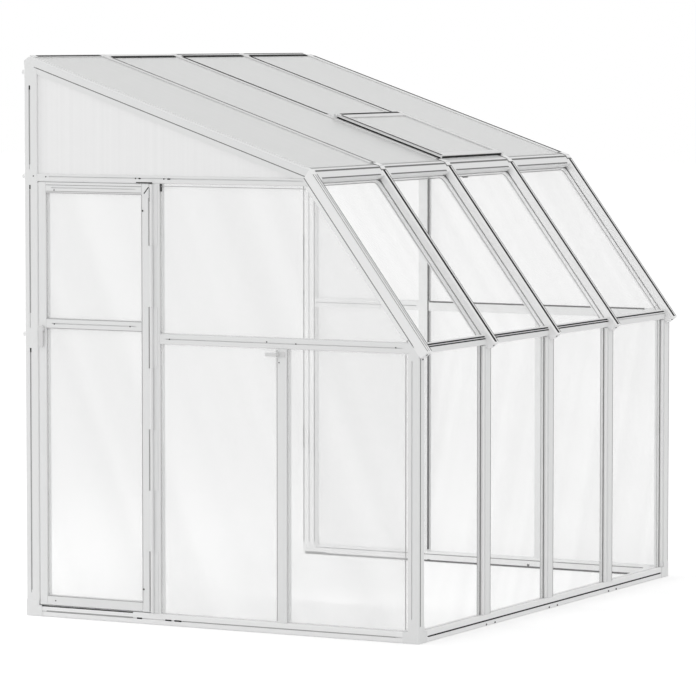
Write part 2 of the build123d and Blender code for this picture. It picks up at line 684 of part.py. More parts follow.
def knee_rail(left, right):
    """Rail under the slope pane: upright front face, top square to the slope, two drip grooves."""
    back = Y_FRONT + BAR_DEPTH
    top = BELT_TOP - BAR_DEPTH * SLOPE_C / SLOPE_S
    outline = [(Y_FRONT, BELT_BOTTOM), (Y_FRONT, BELT_TOP), (back, top), (back, BELT_BOTTOM)]
    solid = prism(outline, left, right)
    for drop, width, depth in KNEE_LINES:
        level = BELT_TOP - drop
        low, high = level - width / 2, level + width / 2
        solid -= box(left - 1, right + 1, Y_FRONT - 1, Y_FRONT + depth, low, high)
    return solid


def eave_beam(left, right, lip):
    """Beam at the eave: a lip and a ledge up the roof, a taller face down the slope and a drip groove."""
    ledge = -SHEET_SET - SHEET
    outline = [on_roof(ROOF_LEN - lip, -BEAM_RECESS), eave_corner(-BEAM_RECESS)]
    outline += [on_slope(EAVE_DROP, -BEAM_RECESS), on_slope(EAVE_DROP, -BAR_DEPTH)]
    outline += [eave_corner(-BAR_DEPTH), on_roof(ROOF_LEN - EAVE_FLANGE, -BAR_DEPTH)]
    if lip < EAVE_FLANGE:
        outline += [on_roof(ROOF_LEN - EAVE_FLANGE, ledge), on_roof(ROOF_LEN - lip, ledge)]
    solid = prism(outline, left, right)
    low, high = EAVE_GROOVE - GROOVE_WIDTH / 2, EAVE_GROOVE + GROOVE_WIDTH / 2
    floor = -2 * GROOVE_DEPTH
    groove = [on_slope(low, 1), on_slope(high, 1), on_slope(high, floor), on_slope(low, floor)]
    return solid - prism(groove, left - 1, right + 1)


def wall_plate(left, right):
    """Plate along the wall: a lip over the tops of the roof sheets and a ledge under them."""
    ledge = -SHEET_SET - SHEET
    outline = [(Y_WALL, roof_inner_z(Y_WALL, -BEAM_RECESS)), on_roof(PLATE_LIP, -BEAM_RECESS)]
    outline += [on_roof(PLATE_LIP, ledge), on_roof(PLATE_WIDTH, ledge)]
    outline += [on_roof(PLATE_WIDTH, -BAR_DEPTH), (Y_WALL, roof_inner_z(Y_WALL, -BAR_DEPTH))]
    return prism(outline, left, right)


nodes["knee_rails"] = []
nodes["eave_beams"] = []
nodes["wall_plates"] = []
for bay, (left, right) in enumerate(BAY_SIDES):
    knee_left = X_CORNER if bay == 0 else left
    knee_right = -X_CORNER if bay == BAYS - 1 else right
    nodes["knee_rails"].append(cut(knee_rail(knee_left, knee_right), [slope_slots[bay], front_slots[bay]]))
    lip = EAVE_FLANGE if bay == VENT_BAY else EAVE_LIP
    nodes["eave_beams"].append(cut(eave_beam(left, right, lip), [slope_slots[bay], roof_slots[bay]]))
    nodes["wall_plates"].append(cut(wall_plate(left, right), [roof_slots[bay]]))

vent_left, vent_right = BAY_SIDES[VENT_BAY]
outline = [on_roof(TRIMMER_START, -BEAM_RECESS), on_roof(VENT_UNDER, -BEAM_RECESS)]
outline += [on_roof(VENT_UNDER, -BAR_DEPTH), on_roof(TRIMMER_START, -BAR_DEPTH)]
nodes["vent_trimmer"] = [cut(prism(outline, vent_left, vent_right), [roof_slots[VENT_BAY]])]

# Panels
nodes["roof_sheets"] = roof_sheets
nodes["slope_panes"] = slope_panes
nodes["front_panes"] = front_panes
nodes["gable_sheet_door_side"] = [gable_sheet]
nodes["gable_sheet_far_side"] = mirrored([gable_sheet])
nodes["gable_panes_door_side"] = gable_panes
nodes["gable_panes_far_side"] = mirrored(gable_panes + bay_panes)

# Wall anchors
anchors = []
for level in ANCHOR_LEVELS:
    x = X_GABLE + BAR_DEPTH / 2
    boss = rod((x, Y_WALL, level), (x, Y_WALL + ANCHOR_REACH, level), ANCHOR_R)
    anchors.append(boss - anchor_hole(level))
nodes["wall_anchors"] = anchors + mirrored(anchors)

# Door
door_hinge_y = Y_JAMB + DOOR_HINGE_GAP
door_latch_y = Y_POST - DOOR_SIDE_GAP
door_low = BASE_HEIGHT + DOOR_FLOOR_GAP
door_high = TIE_BOTTOM - DOOR_HEAD_GAP
door_inner = X_GABLE + DOOR_THICK
stile_hinge = (door_hinge_y, door_hinge_y + STILE)
stile_latch = (door_latch_y - STILE, door_latch_y)
rail_levels = [
    (door_low, door_low + DOOR_BOTTOM_RAIL),
    (DOOR_MID_BOTTOM, DOOR_MID_BOTTOM + DOOR_MID_RAIL),
    (door_high - DOOR_TOP_RAIL, door_high),
]
door_outlines = [
    gable_rectangle(stile_hinge[1], stile_latch[0], rail_levels[0][1], rail_levels[1][0]),
    gable_rectangle(stile_hinge[1], stile_latch[0], rail_levels[1][1], rail_levels[2][0]),
]
door_panes = [sheet(GABLE, outline, GABLE_SET, PANE) for outline in door_outlines]
door_slots = [sheet(GABLE, outline, GABLE_SET, PANE, EDGE_GAP, FACE_GAP) for outline in door_outlines]


def door_stile(sides, rib_low, rib_high):
    """Hollow upright of the door, its outer edges eased."""
    solid = box(X_GABLE, door_inner, sides[0], sides[1], door_low, door_high)
    solid = chamfer(solid.edges().filter_by(Axis.Z).group_by(Axis.X)[0], EDGE)
    inside_y = (sides[0] + rib_low, sides[1] - rib_high)
    cavity = box(X_GABLE + BAR_WALL, door_inner - BAR_WALL, *inside_y, door_low, door_high - RIB)
    return cut(solid - cavity, door_slots)


def door_rail(low, high, groove):
    """Rail between the stiles, grooved along its outer face where wanted."""
    solid = box(X_GABLE, door_inner, stile_hinge[1], stile_latch[0], low, high)
    solid = chamfer(solid.edges().filter_by(Axis.Y).group_by(Axis.X)[0], EDGE)
    if groove:
        middle = (low + high) / 2
        half = GROOVE_WIDTH / 2
        first, last = stile_hinge[1] + GROOVE_STOP, stile_latch[0] - GROOVE_STOP
        solid -= box(X_GABLE - 1, X_GABLE + GROOVE_DEPTH, first, last, middle - half, middle + half)
    return cut(solid, door_slots)


handle_y = door_latch_y - STILE / 2
spindle_ends = [(x, handle_y, HANDLE_HEIGHT) for x in (X_GABLE - 1, door_inner + 1)]
spindle_hole = rod(*spindle_ends, SPINDLE_R + RUN_FIT)
nodes["door_stile_hinge"] = [door_stile(stile_hinge, BAR_WALL, RIB)]
nodes["door_stile_latch"] = [door_stile(stile_latch, RIB, BAR_WALL) - spindle_hole]
nodes["door_rails"] = [door_rail(low, high, low > BELT_TOP) for low, high in rail_levels]
nodes["door_panes"] = door_panes

# Continuous hinge: knuckles turn by turn on the jamb and on the door, round one pin
hinge_x = X_GABLE - HINGE_PROUD
hinge_y = door_hinge_y - HINGE_INSET
knuckle_len = (door_high - door_low) / KNUCKLES
frame_leaves = []
door_leaves = []
for i in range(KNUCKLES):
    low = door_low + knuckle_len * i + KNUCKLE_GAP / 2
    high = low + knuckle_len - KNUCKLE_GAP
    on_door = i % 2
    reach = door_hinge_y - hinge_y + LEAF_WIDTH if on_door else -LEAF_WIDTH
    first, last = sorted((hinge_y, hinge_y + reach))
    leaf = box(X_GABLE - LEAF, X_GABLE, first, last, low, high)
    leaf += rod((hinge_x, hinge_y, low), (hinge_x, hinge_y, high), KNUCKLE_R)
    bore = HINGE_PIN_R + RUN_FIT if on_door else HINGE_PIN_R
    leaf -= rod((hinge_x, hinge_y, low - 1), (hinge_x, hinge_y, high + 1), bore)
    if on_door:
        door_leaves.append(leaf)
    else:
        frame_leaves.append(leaf)
nodes["hinge_frame_leaves"] = frame_leaves
nodes["hinge_door_leaves"] = door_leaves
pin_low = door_low + KNUCKLE_GAP / 2
pin_high = door_high - KNUCKLE_GAP / 2
pin = rod((hinge_x, hinge_y, pin_low), (hinge_x, hinge_y, pin_high), HINGE_PIN_R)
pin += rod((hinge_x, hinge_y, pin_high), (hinge_x, hinge_y, pin_high + ROD_HEAD), PIN_HEAD_R)
nodes["hinge_pin"] = [pin]

# Handle: lever, boss and spindle in one piece, and the tongue on the spindle's inner end


def door_handle():
    """Lever that hangs from its boss, with the spindle through the stile."""
    face = X_GABLE - HANDLE_STAND
    front = face - HANDLE_THICK
    solid = rod((X_GABLE - RUN_FIT, handle_y, HANDLE_HEIGHT), (front, handle_y, HANDLE_HEIGHT), BOSS_R)
    half = HANDLE_WIDTH / 2
    grip = box(front, face, handle_y - half, handle_y + half, HANDLE_HEIGHT - HANDLE_DROP, HANDLE_HEIGHT)
    grip = fillet(grip.edges().filter_by(Axis.X).group_by(Axis.Z)[0], HANDLE_ROUND)
    inner = X_INNER + TONGUE_GAP
    return solid + grip + rod((face, handle_y, HANDLE_HEIGHT), (inner, handle_y, HANDLE_HEIGHT), SPINDLE_R)


tongue_x = X_INNER + TONGUE_GAP
half = TONGUE_WIDTH / 2
tongue_y = (handle_y - half, handle_y + half)
tongue_z = (HANDLE_HEIGHT - half, HANDLE_HEIGHT + TONGUE)
tongue = box(tongue_x, tongue_x + TONGUE_THICK, *tongue_y, *tongue_z)
nodes["door_handle"] = [door_handle()]
nodes["latch_tongue"] = [tongue]

# Holder on the mullion that meets the open door's edge
holder_low, holder_high = HOLDER_Z - HOLDER_HEIGHT / 2, HOLDER_Z + HOLDER_HEIGHT / 2
plate_y = Y_MULLION - BAR_WIDTH / 2 + HOLDER_PLATE_WIDTH / 2
plate_z = (holder_low - HOLDER_PLATE_LAP, holder_high + HOLDER_PLATE_LAP)
arm_y = Y_MULLION - HOLDER_ARM_SET
pad_x = X_GABLE - HOLDER_PROUD
holder = box(X_GABLE - HOLDER_PLATE, X_GABLE, plate_y - HOLDER_PLATE_WIDTH, plate_y, *plate_z)
holder += box(pad_x, X_GABLE, arm_y - HOLDER_ARM, arm_y, holder_low, holder_high)
holder += box(pad_x, pad_x + HOLDER_ARM, arm_y - HOLDER_ARM, arm_y + HOLDER_REACH, holder_low, holder_high)
nodes["door_holder"] = [holder]

# Screws: on the rafter noses, the base rail and the door's hinge stile
screws = []
nose_y, nose_z = on_slope(SLOPE_LEN, -NOSE_SCREW_SET)
tip_y, tip_z = on_slope(SLOPE_LEN + SCREW_HEIGHT, -NOSE_SCREW_SET)
for x in RAFTER_X:
    screws.append(rod((x, nose_y, nose_z), (x, tip_y, tip_z), SCREW_R))
for x in RAFTER_X[1:-1]:
    for side in (-RAIL_SCREW_SPREAD, RAIL_SCREW_SPREAD):
        start = (x + RAIL_SCREW_SHIFT + side, Y_FRONT, RAIL_SCREW_RISE)
        screws.append(rod(start, (start[0], Y_FRONT - SCREW_HEIGHT, start[2]), SCREW_R))
nodes["frame_screws"] = screws
nodes["door_screws"] = []
for level in (door_low + DOOR_SCREW_LOW, door_high - DOOR_SCREW_HIGH):
    y = stile_hinge[1] - EDGE - SCREW_R
    nodes["door_screws"].append(rod((X_GABLE, y, level), (X_GABLE - SCREW_HEIGHT, y, level), SCREW_R))

# Roof vent
vent_x0, vent_x1 = vent_left - VENT_LAP, vent_right + VENT_LAP
vent_low, vent_high = VENT_LIFT, VENT_LIFT + VENT_THICK
axis_out = VENT_LIFT + VENT_THICK / 2


def roof_prism(down0, down1, out0, out1, x0, x1):
    """Block with its sides along and square to the roof."""
    corners = [on_roof(down0, out0), on_roof(down1, out0), on_roof(down1, out1), on_roof(down0, out1)]
    return prism(corners, x0, x1)


def roof_rod(down, out, x0, x1, radius):
    """Round bar along X at a place on the roof."""
    y, z = on_roof(down, out)
    return rod((x0, y, z), (x1, y, z), radius)


rail_end = VENT_AXIS + VENT_TOP_RAIL
stile_end = VENT_BOTTOM - VENT_RAIL
vent_glass_x = (vent_x0 + VENT_RAIL - BITE, vent_x1 - VENT_RAIL + BITE)
vent_outline = rectangle(*vent_glass_x, -stile_end - BITE, -rail_end + BITE)
vent_sheet_set = VENT_THICK / 2 - SHEET / 2 - vent_high
vent_sheet = sheet(ROOF, vent_outline, vent_sheet_set, SHEET)
vent_slot = sheet(ROOF, vent_outline, vent_sheet_set, SHEET, EDGE_GAP, FACE_GAP)
top_rail = roof_prism(VENT_AXIS, rail_end, vent_low, vent_high, vent_x0, vent_x1)
top_rail += roof_rod(VENT_AXIS, axis_out, vent_x0, vent_x1, VENT_EDGE_R)
top_rail -= roof_rod(VENT_AXIS, axis_out, vent_x0 - 1, vent_x1 + 1, ROD_R + RUN_FIT)
bottom_rail = roof_prism(stile_end, VENT_BOTTOM, vent_low, vent_high, vent_x0, vent_x1)
nodes["vent_rails"] = [top_rail - vent_slot, bottom_rail - vent_slot]
nodes["vent_stiles"] = []
for x in (vent_x0, vent_x1 - VENT_RAIL):
    stile = roof_prism(rail_end, stile_end, vent_low, vent_high, x, x + VENT_RAIL)
    nodes["vent_stiles"].append(stile - vent_slot)
nodes["vent_sheet"] = [vent_sheet]

nodes["vent_hinge_ears"] = []
heads = []
for x, turn in ((vent_x0, -1), (vent_x1, 1)):
    first, last = sorted((x + turn * EAR_GAP, x + turn * (EAR_GAP + EAR)))
    ear = roof_prism(VENT_AXIS - VENT_EDGE_R, VENT_AXIS + VENT_EDGE_R, 0, axis_out, first, last)
    ear += roof_rod(VENT_AXIS, axis_out, first, last, VENT_EDGE_R)
    nodes["vent_hinge_ears"].append(ear - roof_rod(VENT_AXIS, axis_out, first - 1, last + 1, ROD_R))
    far = x + turn * (EAR_GAP + EAR)
    first, last = sorted((far, far + turn * ROD_HEAD))
    heads.append(roof_rod(VENT_AXIS, axis_out, first, last, ROD_HEAD_R))
rod_x = (vent_x0 - EAR_GAP - EAR, vent_x1 + EAR_GAP + EAR)
vent_rod = roof_rod(VENT_AXIS, axis_out, *rod_x, ROD_R)
nodes["vent_hinge_rod"] = [vent_rod + heads[0] + heads[1]]

# Vent stay: an arm folded under the vent on a pin, and a bracket for it on the eave beam
half = STAY_WIDTH / 2
arm_x0, arm_x1 = STAY_X - STAY_THICK / 2, STAY_X + STAY_THICK / 2
arm = roof_prism(STAY_PIVOT - STAY_LENGTH, STAY_PIVOT, -STAY_DROP - half, -STAY_DROP + half, arm_x0, arm_x1)
arm += roof_rod(STAY_PIVOT, -STAY_DROP, arm_x0, arm_x1, half)
arm -= roof_rod(STAY_PIVOT, -STAY_DROP, arm_x0 - 1, arm_x1 + 1, STAY_PIN_R + RUN_FIT)
for step in range(1, STAY_HOLES + 1):
    down = STAY_PIVOT - STAY_HOLE_STEP * step
    arm -= roof_rod(down, -STAY_DROP, arm_x0 - 1, arm_x1 + 1, STAY_HOLE_R)
nodes["vent_stay"] = [arm]
lug_x1 = arm_x0 - STOP_GAP
lug_low = -STAY_DROP - half + LUG_RAISE
lug = roof_prism(STAY_PIVOT - half, STAY_PIVOT + half, lug_low, vent_low, lug_x1 - LUG, lug_x1)
lug += roof_rod(STAY_PIVOT, -STAY_DROP, lug_x1, arm_x1 + STOP_GAP, STAY_PIN_R)
head_x = arm_x1 + STOP_GAP
lug += roof_rod(STAY_PIVOT, -STAY_DROP, head_x, head_x + ROD_HEAD, STAY_HEAD_R)
nodes["stay_pivot"] = [lug]
bracket_x0 = arm_x1 + BRACKET_CLEAR
foot_down = ROOF_LEN - EAVE_FLANGE
plate_y, plate_z = on_roof(foot_down, -BAR_DEPTH)
outline = [on_roof(foot_down, -BRACKET_TOP), (plate_y, plate_z), (plate_y, plate_z - BRACKET_TAIL)]
outline += [(plate_y + STAY_THICK, plate_z - BRACKET_TAIL), (plate_y + STAY_THICK, plate_z)]
outline += [on_roof(foot_down - STAY_THICK, -BRACKET_TOP)]
nodes["stay_bracket"] = [prism(outline, bracket_x0, bracket_x0 + BRACKET_WIDTH)]

# The box round the whole is centred on the origin
shapes = {name: Compound([s for piece in pieces for s in piece.solids()]) for name, pieces in nodes.items()}
frame = Compound(list(shapes.values())).bounding_box()
shift = Pos(-(frame.min.X + frame.max.X) / 2, -(frame.min.Y + frame.max.Y) / 2, -frame.min.Z)
os.makedirs("parts", exist_ok=True)
for name, shape in shapes.items():
    export_step(shift * shape, f"parts/{name}.step")
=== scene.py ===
"""Looks of the lean-to greenhouse: white resin bars, clear panes, milky twin-wall sheets.

All lengths are in metres, in the frame of the solids: +X along the house wall, +Y to the wall, +Z up.
Marks that stand by themselves are placed in the house frame, whose origin is the middle between the gables
and between the front and the wall. The solids are shifted from it, so that their box is centred.
"""
import json
from math import cos, hypot, radians, sin

import bpy
from mathutils import Matrix, Vector


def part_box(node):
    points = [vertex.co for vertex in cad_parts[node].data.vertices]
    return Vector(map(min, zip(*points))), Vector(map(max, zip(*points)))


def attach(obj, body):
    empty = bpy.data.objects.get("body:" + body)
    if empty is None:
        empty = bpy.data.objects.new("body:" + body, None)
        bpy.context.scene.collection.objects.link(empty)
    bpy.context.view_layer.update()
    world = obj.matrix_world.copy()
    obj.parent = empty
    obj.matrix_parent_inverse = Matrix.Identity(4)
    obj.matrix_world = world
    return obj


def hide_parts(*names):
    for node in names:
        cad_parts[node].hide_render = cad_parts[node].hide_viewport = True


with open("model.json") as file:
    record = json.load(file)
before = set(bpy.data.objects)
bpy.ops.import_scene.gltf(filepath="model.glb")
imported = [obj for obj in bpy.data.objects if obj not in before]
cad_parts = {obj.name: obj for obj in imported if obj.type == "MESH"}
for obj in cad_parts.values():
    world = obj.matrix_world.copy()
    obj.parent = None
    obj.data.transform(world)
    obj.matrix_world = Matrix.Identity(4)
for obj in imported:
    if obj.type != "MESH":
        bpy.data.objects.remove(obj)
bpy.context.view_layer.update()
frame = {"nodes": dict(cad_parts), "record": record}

# Driving sizes of the solids
SHIFT_X, SHIFT_Y = 0.0145, 0.011
LENGTH, DEPTH = 2.580, 1.938
WALL_TOP, EAVE_HEIGHT, EAVE_SETBACK = 2.461, 1.981, 0.522
NOSE_REACH, NOSE_HEIGHT = 0.040, 1.228
BAR_WIDTH, BAR_DEPTH = 0.048, 0.042
BAYS = 4
BASE_HEIGHT, BELT_BOTTOM = 0.049, 1.220

# Rafters, bays and the planes of the sides
PITCH = (LENGTH - BAR_WIDTH) / BAYS
RAFTER_X = [-LENGTH / 2 + BAR_WIDTH / 2 + PITCH * i + SHIFT_X for i in range(BAYS + 1)]
BAY_SIDES = [(RAFTER_X[i] + BAR_WIDTH / 2, RAFTER_X[i + 1] - BAR_WIDTH / 2) for i in range(BAYS)]
Y_FRONT = -DEPTH / 2 + SHIFT_Y
Y_WALL = DEPTH / 2 + SHIFT_Y
Y_EAVE = Y_FRONT + EAVE_SETBACK
X_GABLE = -LENGTH / 2 + SHIFT_X
X_FAR = LENGTH / 2 + SHIFT_X

# Lengths of the roof and the slope, and the cosine and sine of their pitch
ROOF_LEN = hypot(DEPTH - EAVE_SETBACK, WALL_TOP - EAVE_HEIGHT)
ROOF_C = (DEPTH - EAVE_SETBACK) / ROOF_LEN
ROOF_S = (WALL_TOP - EAVE_HEIGHT) / ROOF_LEN
SLOPE_LEN = hypot(EAVE_SETBACK + NOSE_REACH, EAVE_HEIGHT - NOSE_HEIGHT)
SLOPE_C = (EAVE_SETBACK + NOSE_REACH) / SLOPE_LEN
SLOPE_S = (EAVE_HEIGHT - NOSE_HEIGHT) / SLOPE_LEN


class Face:
    """A flat side of the house: u and v lie in it, w points out of it."""

    def __init__(self, origin, u, v, w):
        self.origin, self.u, self.v, self.w = Vector(origin), Vector(u), Vector(v), Vector(w)

    def at(self, u, v, w):
        return self.origin + self.u * u + self.v * v + self.w * w


# On the roof v runs down from the wall, on the slope down from the eave, elsewhere up from the ground
ROOF = Face((0, Y_WALL, WALL_TOP), (1, 0, 0), (0, -ROOF_C, -ROOF_S), (0, -ROOF_S, ROOF_C))
SLOPE = Face((0, Y_EAVE, EAVE_HEIGHT), (1, 0, 0), (0, -SLOPE_C, -SLOPE_S), (0, -SLOPE_S, SLOPE_C))
FRONT = Face((0, Y_FRONT, 0), (1, 0, 0), (0, 0, 1), (0, -1, 0))
GABLE = Face((X_GABLE, 0, 0), (0, 1, 0), (0, 0, 1), (-1, 0, 0))
FAR_GABLE = Face((X_FAR, 0, 0), (0, 1, 0), (0, 0, 1), (1, 0, 0))


# Materials

GRAIN_SCALE, GRAIN_DETAIL, GRAIN_HEIGHT = 900.0, 2.0, 0.0004
CLOUD_DETAIL = 3.0
NOISE_LOW, NOISE_HIGH = 0.25, 0.75


def new_material(name):
    """New node material, its node tree and its shader."""
    material = bpy.data.materials.new(name)
    material.use_nodes = True
    tree = material.node_tree
    return material, tree, tree.nodes["Principled BSDF"]


def noise(tree, scale, detail):
    """Noise over the object's own coordinates."""
    place = tree.nodes.new("ShaderNodeTexCoord")
    texture = tree.nodes.new("ShaderNodeTexNoise")
    texture.inputs["Scale"].default_value = scale
    texture.inputs["Detail"].default_value = detail
    tree.links.new(place.outputs["Object"], texture.inputs["Vector"])
    return texture.outputs["Fac"]


def bands(tree, across, scale, detail):
    """Noise that varies in one direction only, so it draws straight bands."""
    place = tree.nodes.new("ShaderNodeTexCoord")
    along = tree.nodes.new("ShaderNodeVectorMath")
    along.operation = "DOT_PRODUCT"
    along.inputs[1].default_value = across
    tree.links.new(place.outputs["Object"], along.inputs[0])
    texture = tree.nodes.new("ShaderNodeTexNoise")
    texture.noise_dimensions = "1D"
    texture.inputs["Scale"].default_value = scale
    texture.inputs["Detail"].default_value = detail
    tree.links.new(along.outputs["Value"], texture.inputs["W"])
    return texture.outputs["Fac"]


def spread(tree, value, low, high):
    """Maps the middle of a noise smoothly to a range of numbers."""
    node = tree.nodes.new("ShaderNodeMapRange")
    node.interpolation_type = "SMOOTHSTEP"
    node.inputs["From Min"].default_value = NOISE_LOW
    node.inputs["From Max"].default_value = NOISE_HIGH
    node.inputs["To Min"].default_value = low
    node.inputs["To Max"].default_value = high
    tree.links.new(value, node.inputs["Value"])
    return node.outputs["Result"]


def tinted(tree, value, first, second):
    """Colour between two by a noise."""
    node = tree.nodes.new("ShaderNodeMix")
    node.data_type = "RGBA"
    node.inputs["A"].default_value = (*first, 1)
    node.inputs["B"].default_value = (*second, 1)
    tree.links.new(value, node.inputs["Factor"])
    return node.outputs["Result"]


def bumped(tree, shader, value, strength, distance):
    """Fine relief on a shader."""
    node = tree.nodes.new("ShaderNodeBump")
    node.inputs["Strength"].default_value = strength
    node.inputs["Distance"].default_value = distance
    tree.links.new(value, node.inputs["Height"])
    tree.links.new(node.outputs["Normal"], shader.inputs["Normal"])


def solid(name, dark, light, roughness, cloud, grain=0.0, metallic=0.0, specular=None):
    """Opaque material with a cloudy tint, uneven gloss and a fine grain."""
    material, tree, shader = new_material(name)
    clouds = noise(tree, cloud, CLOUD_DETAIL)
    tree.links.new(tinted(tree, clouds, dark, light), shader.inputs["Base Color"])
    tree.links.new(spread(tree, clouds, *roughness), shader.inputs["Roughness"])
    shader.inputs["Metallic"].default_value = metallic
    if specular is not None:
        shader.inputs["Specular IOR Level"].default_value = specular
    if grain:
        bumped(tree, shader, noise(tree, GRAIN_SCALE, GRAIN_DETAIL), grain, GRAIN_HEIGHT)
    return material


def grey(level):
    return level, level, level


RESIN_DARK, RESIN_LIGHT = (0.775, 0.78, 0.78), (0.80, 0.802, 0.80)
RESIN = solid("white_resin", RESIN_DARK, RESIN_LIGHT, roughness=(0.38, 0.5), cloud=6.0, grain=0.05)
# A lighter copy of the white resin is painted light, and a darker copy is painted shade
BRIGHT = solid("lit_resin_painted_light", grey(0.86), grey(0.88), roughness=(0.38, 0.5), cloud=6.0, grain=0.05)
SHADED_RESIN = solid("shaded_resin_painted_shade", grey(0.70), grey(0.72), roughness=(0.4, 0.52), cloud=6.0, grain=0.05)
FITTING = solid("grey_fitting", grey(0.66), grey(0.72), roughness=(0.3, 0.42), cloud=20.0, grain=0.05)
STEEL = solid("steel", grey(0.05), grey(0.09), roughness=(0.4, 0.55), cloud=60.0, metallic=0.7)
ALUMINIUM = solid("aluminium_arm", grey(0.58), grey(0.66), roughness=(0.3, 0.45), cloud=40.0, metallic=1.0)
# Black, grey and pale strips are painted shade and painted shadow, laid in slots and gaps and along edges
# where shade falls
PAINTED_SHADE_SURFACE = {"cloud": 30.0, "grain": 0.1}
BLACK = solid("black_painted_shadow", grey(0.006), grey(0.012), roughness=(0.6, 0.75), specular=0.15, **PAINTED_SHADE_SURFACE)
SHADE = solid("grey_painted_shade", grey(0.14), grey(0.18), roughness=(0.6, 0.75), **PAINTED_SHADE_SURFACE)
PALE = solid("pale_painted_shade", grey(0.33), grey(0.38), roughness=(0.55, 0.7), **PAINTED_SHADE_SURFACE)

# Clear panes have painted reflections in broad streaks, and twin-wall skins have flutes
PANE_ROUGHNESS, SKIN_ROUGHNESS = 0.06, 0.22
REFLECTION_SCALE, REFLECTION_DETAIL, REFLECTION_LIGHTER, REFLECTION_DARKER = 5.0, 1.0, 0.02, 0.04
FLUTE_SCALE, FLUTE_DETAIL, FLUTE_DARK, FLUTE_LIGHT = 45.0, 3.0, 0.96, 1.03
ALONG_X, ALONG_Y = (1.0, 0.0, 0.0), (0.0, 1.0, 0.0)


def clear_pane(name, tone, film, across):
    """Clear sheet with a faint white film, thicker and duller in broad slanting streaks that are painted
    reflections.
    """
    material, tree, shader = new_material(name)
    shader.inputs["Roughness"].default_value = PANE_ROUGHNESS
    reflection_streaks = bands(tree, across, REFLECTION_SCALE, REFLECTION_DETAIL)
    reflection_dull = spread(tree, reflection_streaks, 0.0, 1.0)
    tint = tinted(tree, reflection_dull, grey(tone + REFLECTION_LIGHTER), grey(tone - REFLECTION_DARKER))
    tree.links.new(tint, shader.inputs["Base Color"])
    tree.links.new(spread(tree, reflection_streaks, *film), shader.inputs["Alpha"])
    return material


def twin_wall(name, colour, alpha, across):
    """Milky skin of a twin-wall sheet."""
    material, tree, shader = new_material(name)
    flutes = bands(tree, across, FLUTE_SCALE, FLUTE_DETAIL)
    dark = [c * FLUTE_DARK for c in colour]
    light = [min(c * FLUTE_LIGHT, 1.0) for c in colour]
    tree.links.new(tinted(tree, flutes, dark, light), shader.inputs["Base Color"])
    shader.inputs["Roughness"].default_value = SKIN_ROUGHNESS
    shader.inputs["Alpha"].default_value = alpha
    return material


PANE = clear_pane("clear_pane", tone=0.80, film=(0.12, 0.17), across=(0.85, 0.2, -0.35))
GABLE_PANE = clear_pane("clear_gable_pane", tone=0.86, film=(0.32, 0.36), across=(0.0, 0.93, -0.37))
ROOF_SKIN = twin_wall("roof_skin", (0.82, 0.825, 0.82), alpha=0.74, across=ALONG_X)
GABLE_SKIN = twin_wall("gable_skin", grey(0.985), alpha=0.88, across=ALONG_Y)

SLOT_MATERIALS = {
    "white_resin": RESIN,
    "clear_pane": PANE,
    "twin_wall_sheet": ROOF_SKIN,
    "steel": STEEL,
    "aluminium_arm": ALUMINIUM,
    "grey_fitting": FITTING,
}

# Solids that look lighter, darker or hazier in the photograph than the rest of their kind
# On these solids the lighter resin is painted light and the darker resin painted shade
OTHER_MATERIALS = (
    (GABLE_PANE, ["gable_panes_door_side", "door_panes"]),
    (SHADED_RESIN, ["vent_rails", "vent_stiles", "roof_rafter_2", "roof_rafter_3", "roof_rafter_4"]),
    (BRIGHT, ["wall_post_far_side", "base_rail_door_side", "base_rail_far_side", "base_rail_front"]),
    (BRIGHT, [f"slope_rafter_{count}" for count in range(1, BAYS + 2)]),
    (FITTING, ["vent_hinge_rod"]),
)


def finish_solids():
    """Gives each solid the material of its slot, or its own."""
    own = {name: material for material, names in OTHER_MATERIALS for name in names}
    for part in frame["record"]["subparts"]:
        materials = frame["nodes"][part["node"]].data.materials
        materials.clear()
        materials.append(own.get(part["node"], SLOT_MATERIALS[part["material_slot"]]))


finish_solids()


# Meshes. A line's foot is sunk in the solid, and its top lies just over the face, or under it in a groove.

SINK, OVER, FLUSH, DEEP = -0.001, 0.0004, -0.0004, -0.0045
LINE = (SINK, OVER)
MARK = (0.0, OVER)
RAISED = (SINK, 2 * OVER)
BEVEL_STEPS = 2


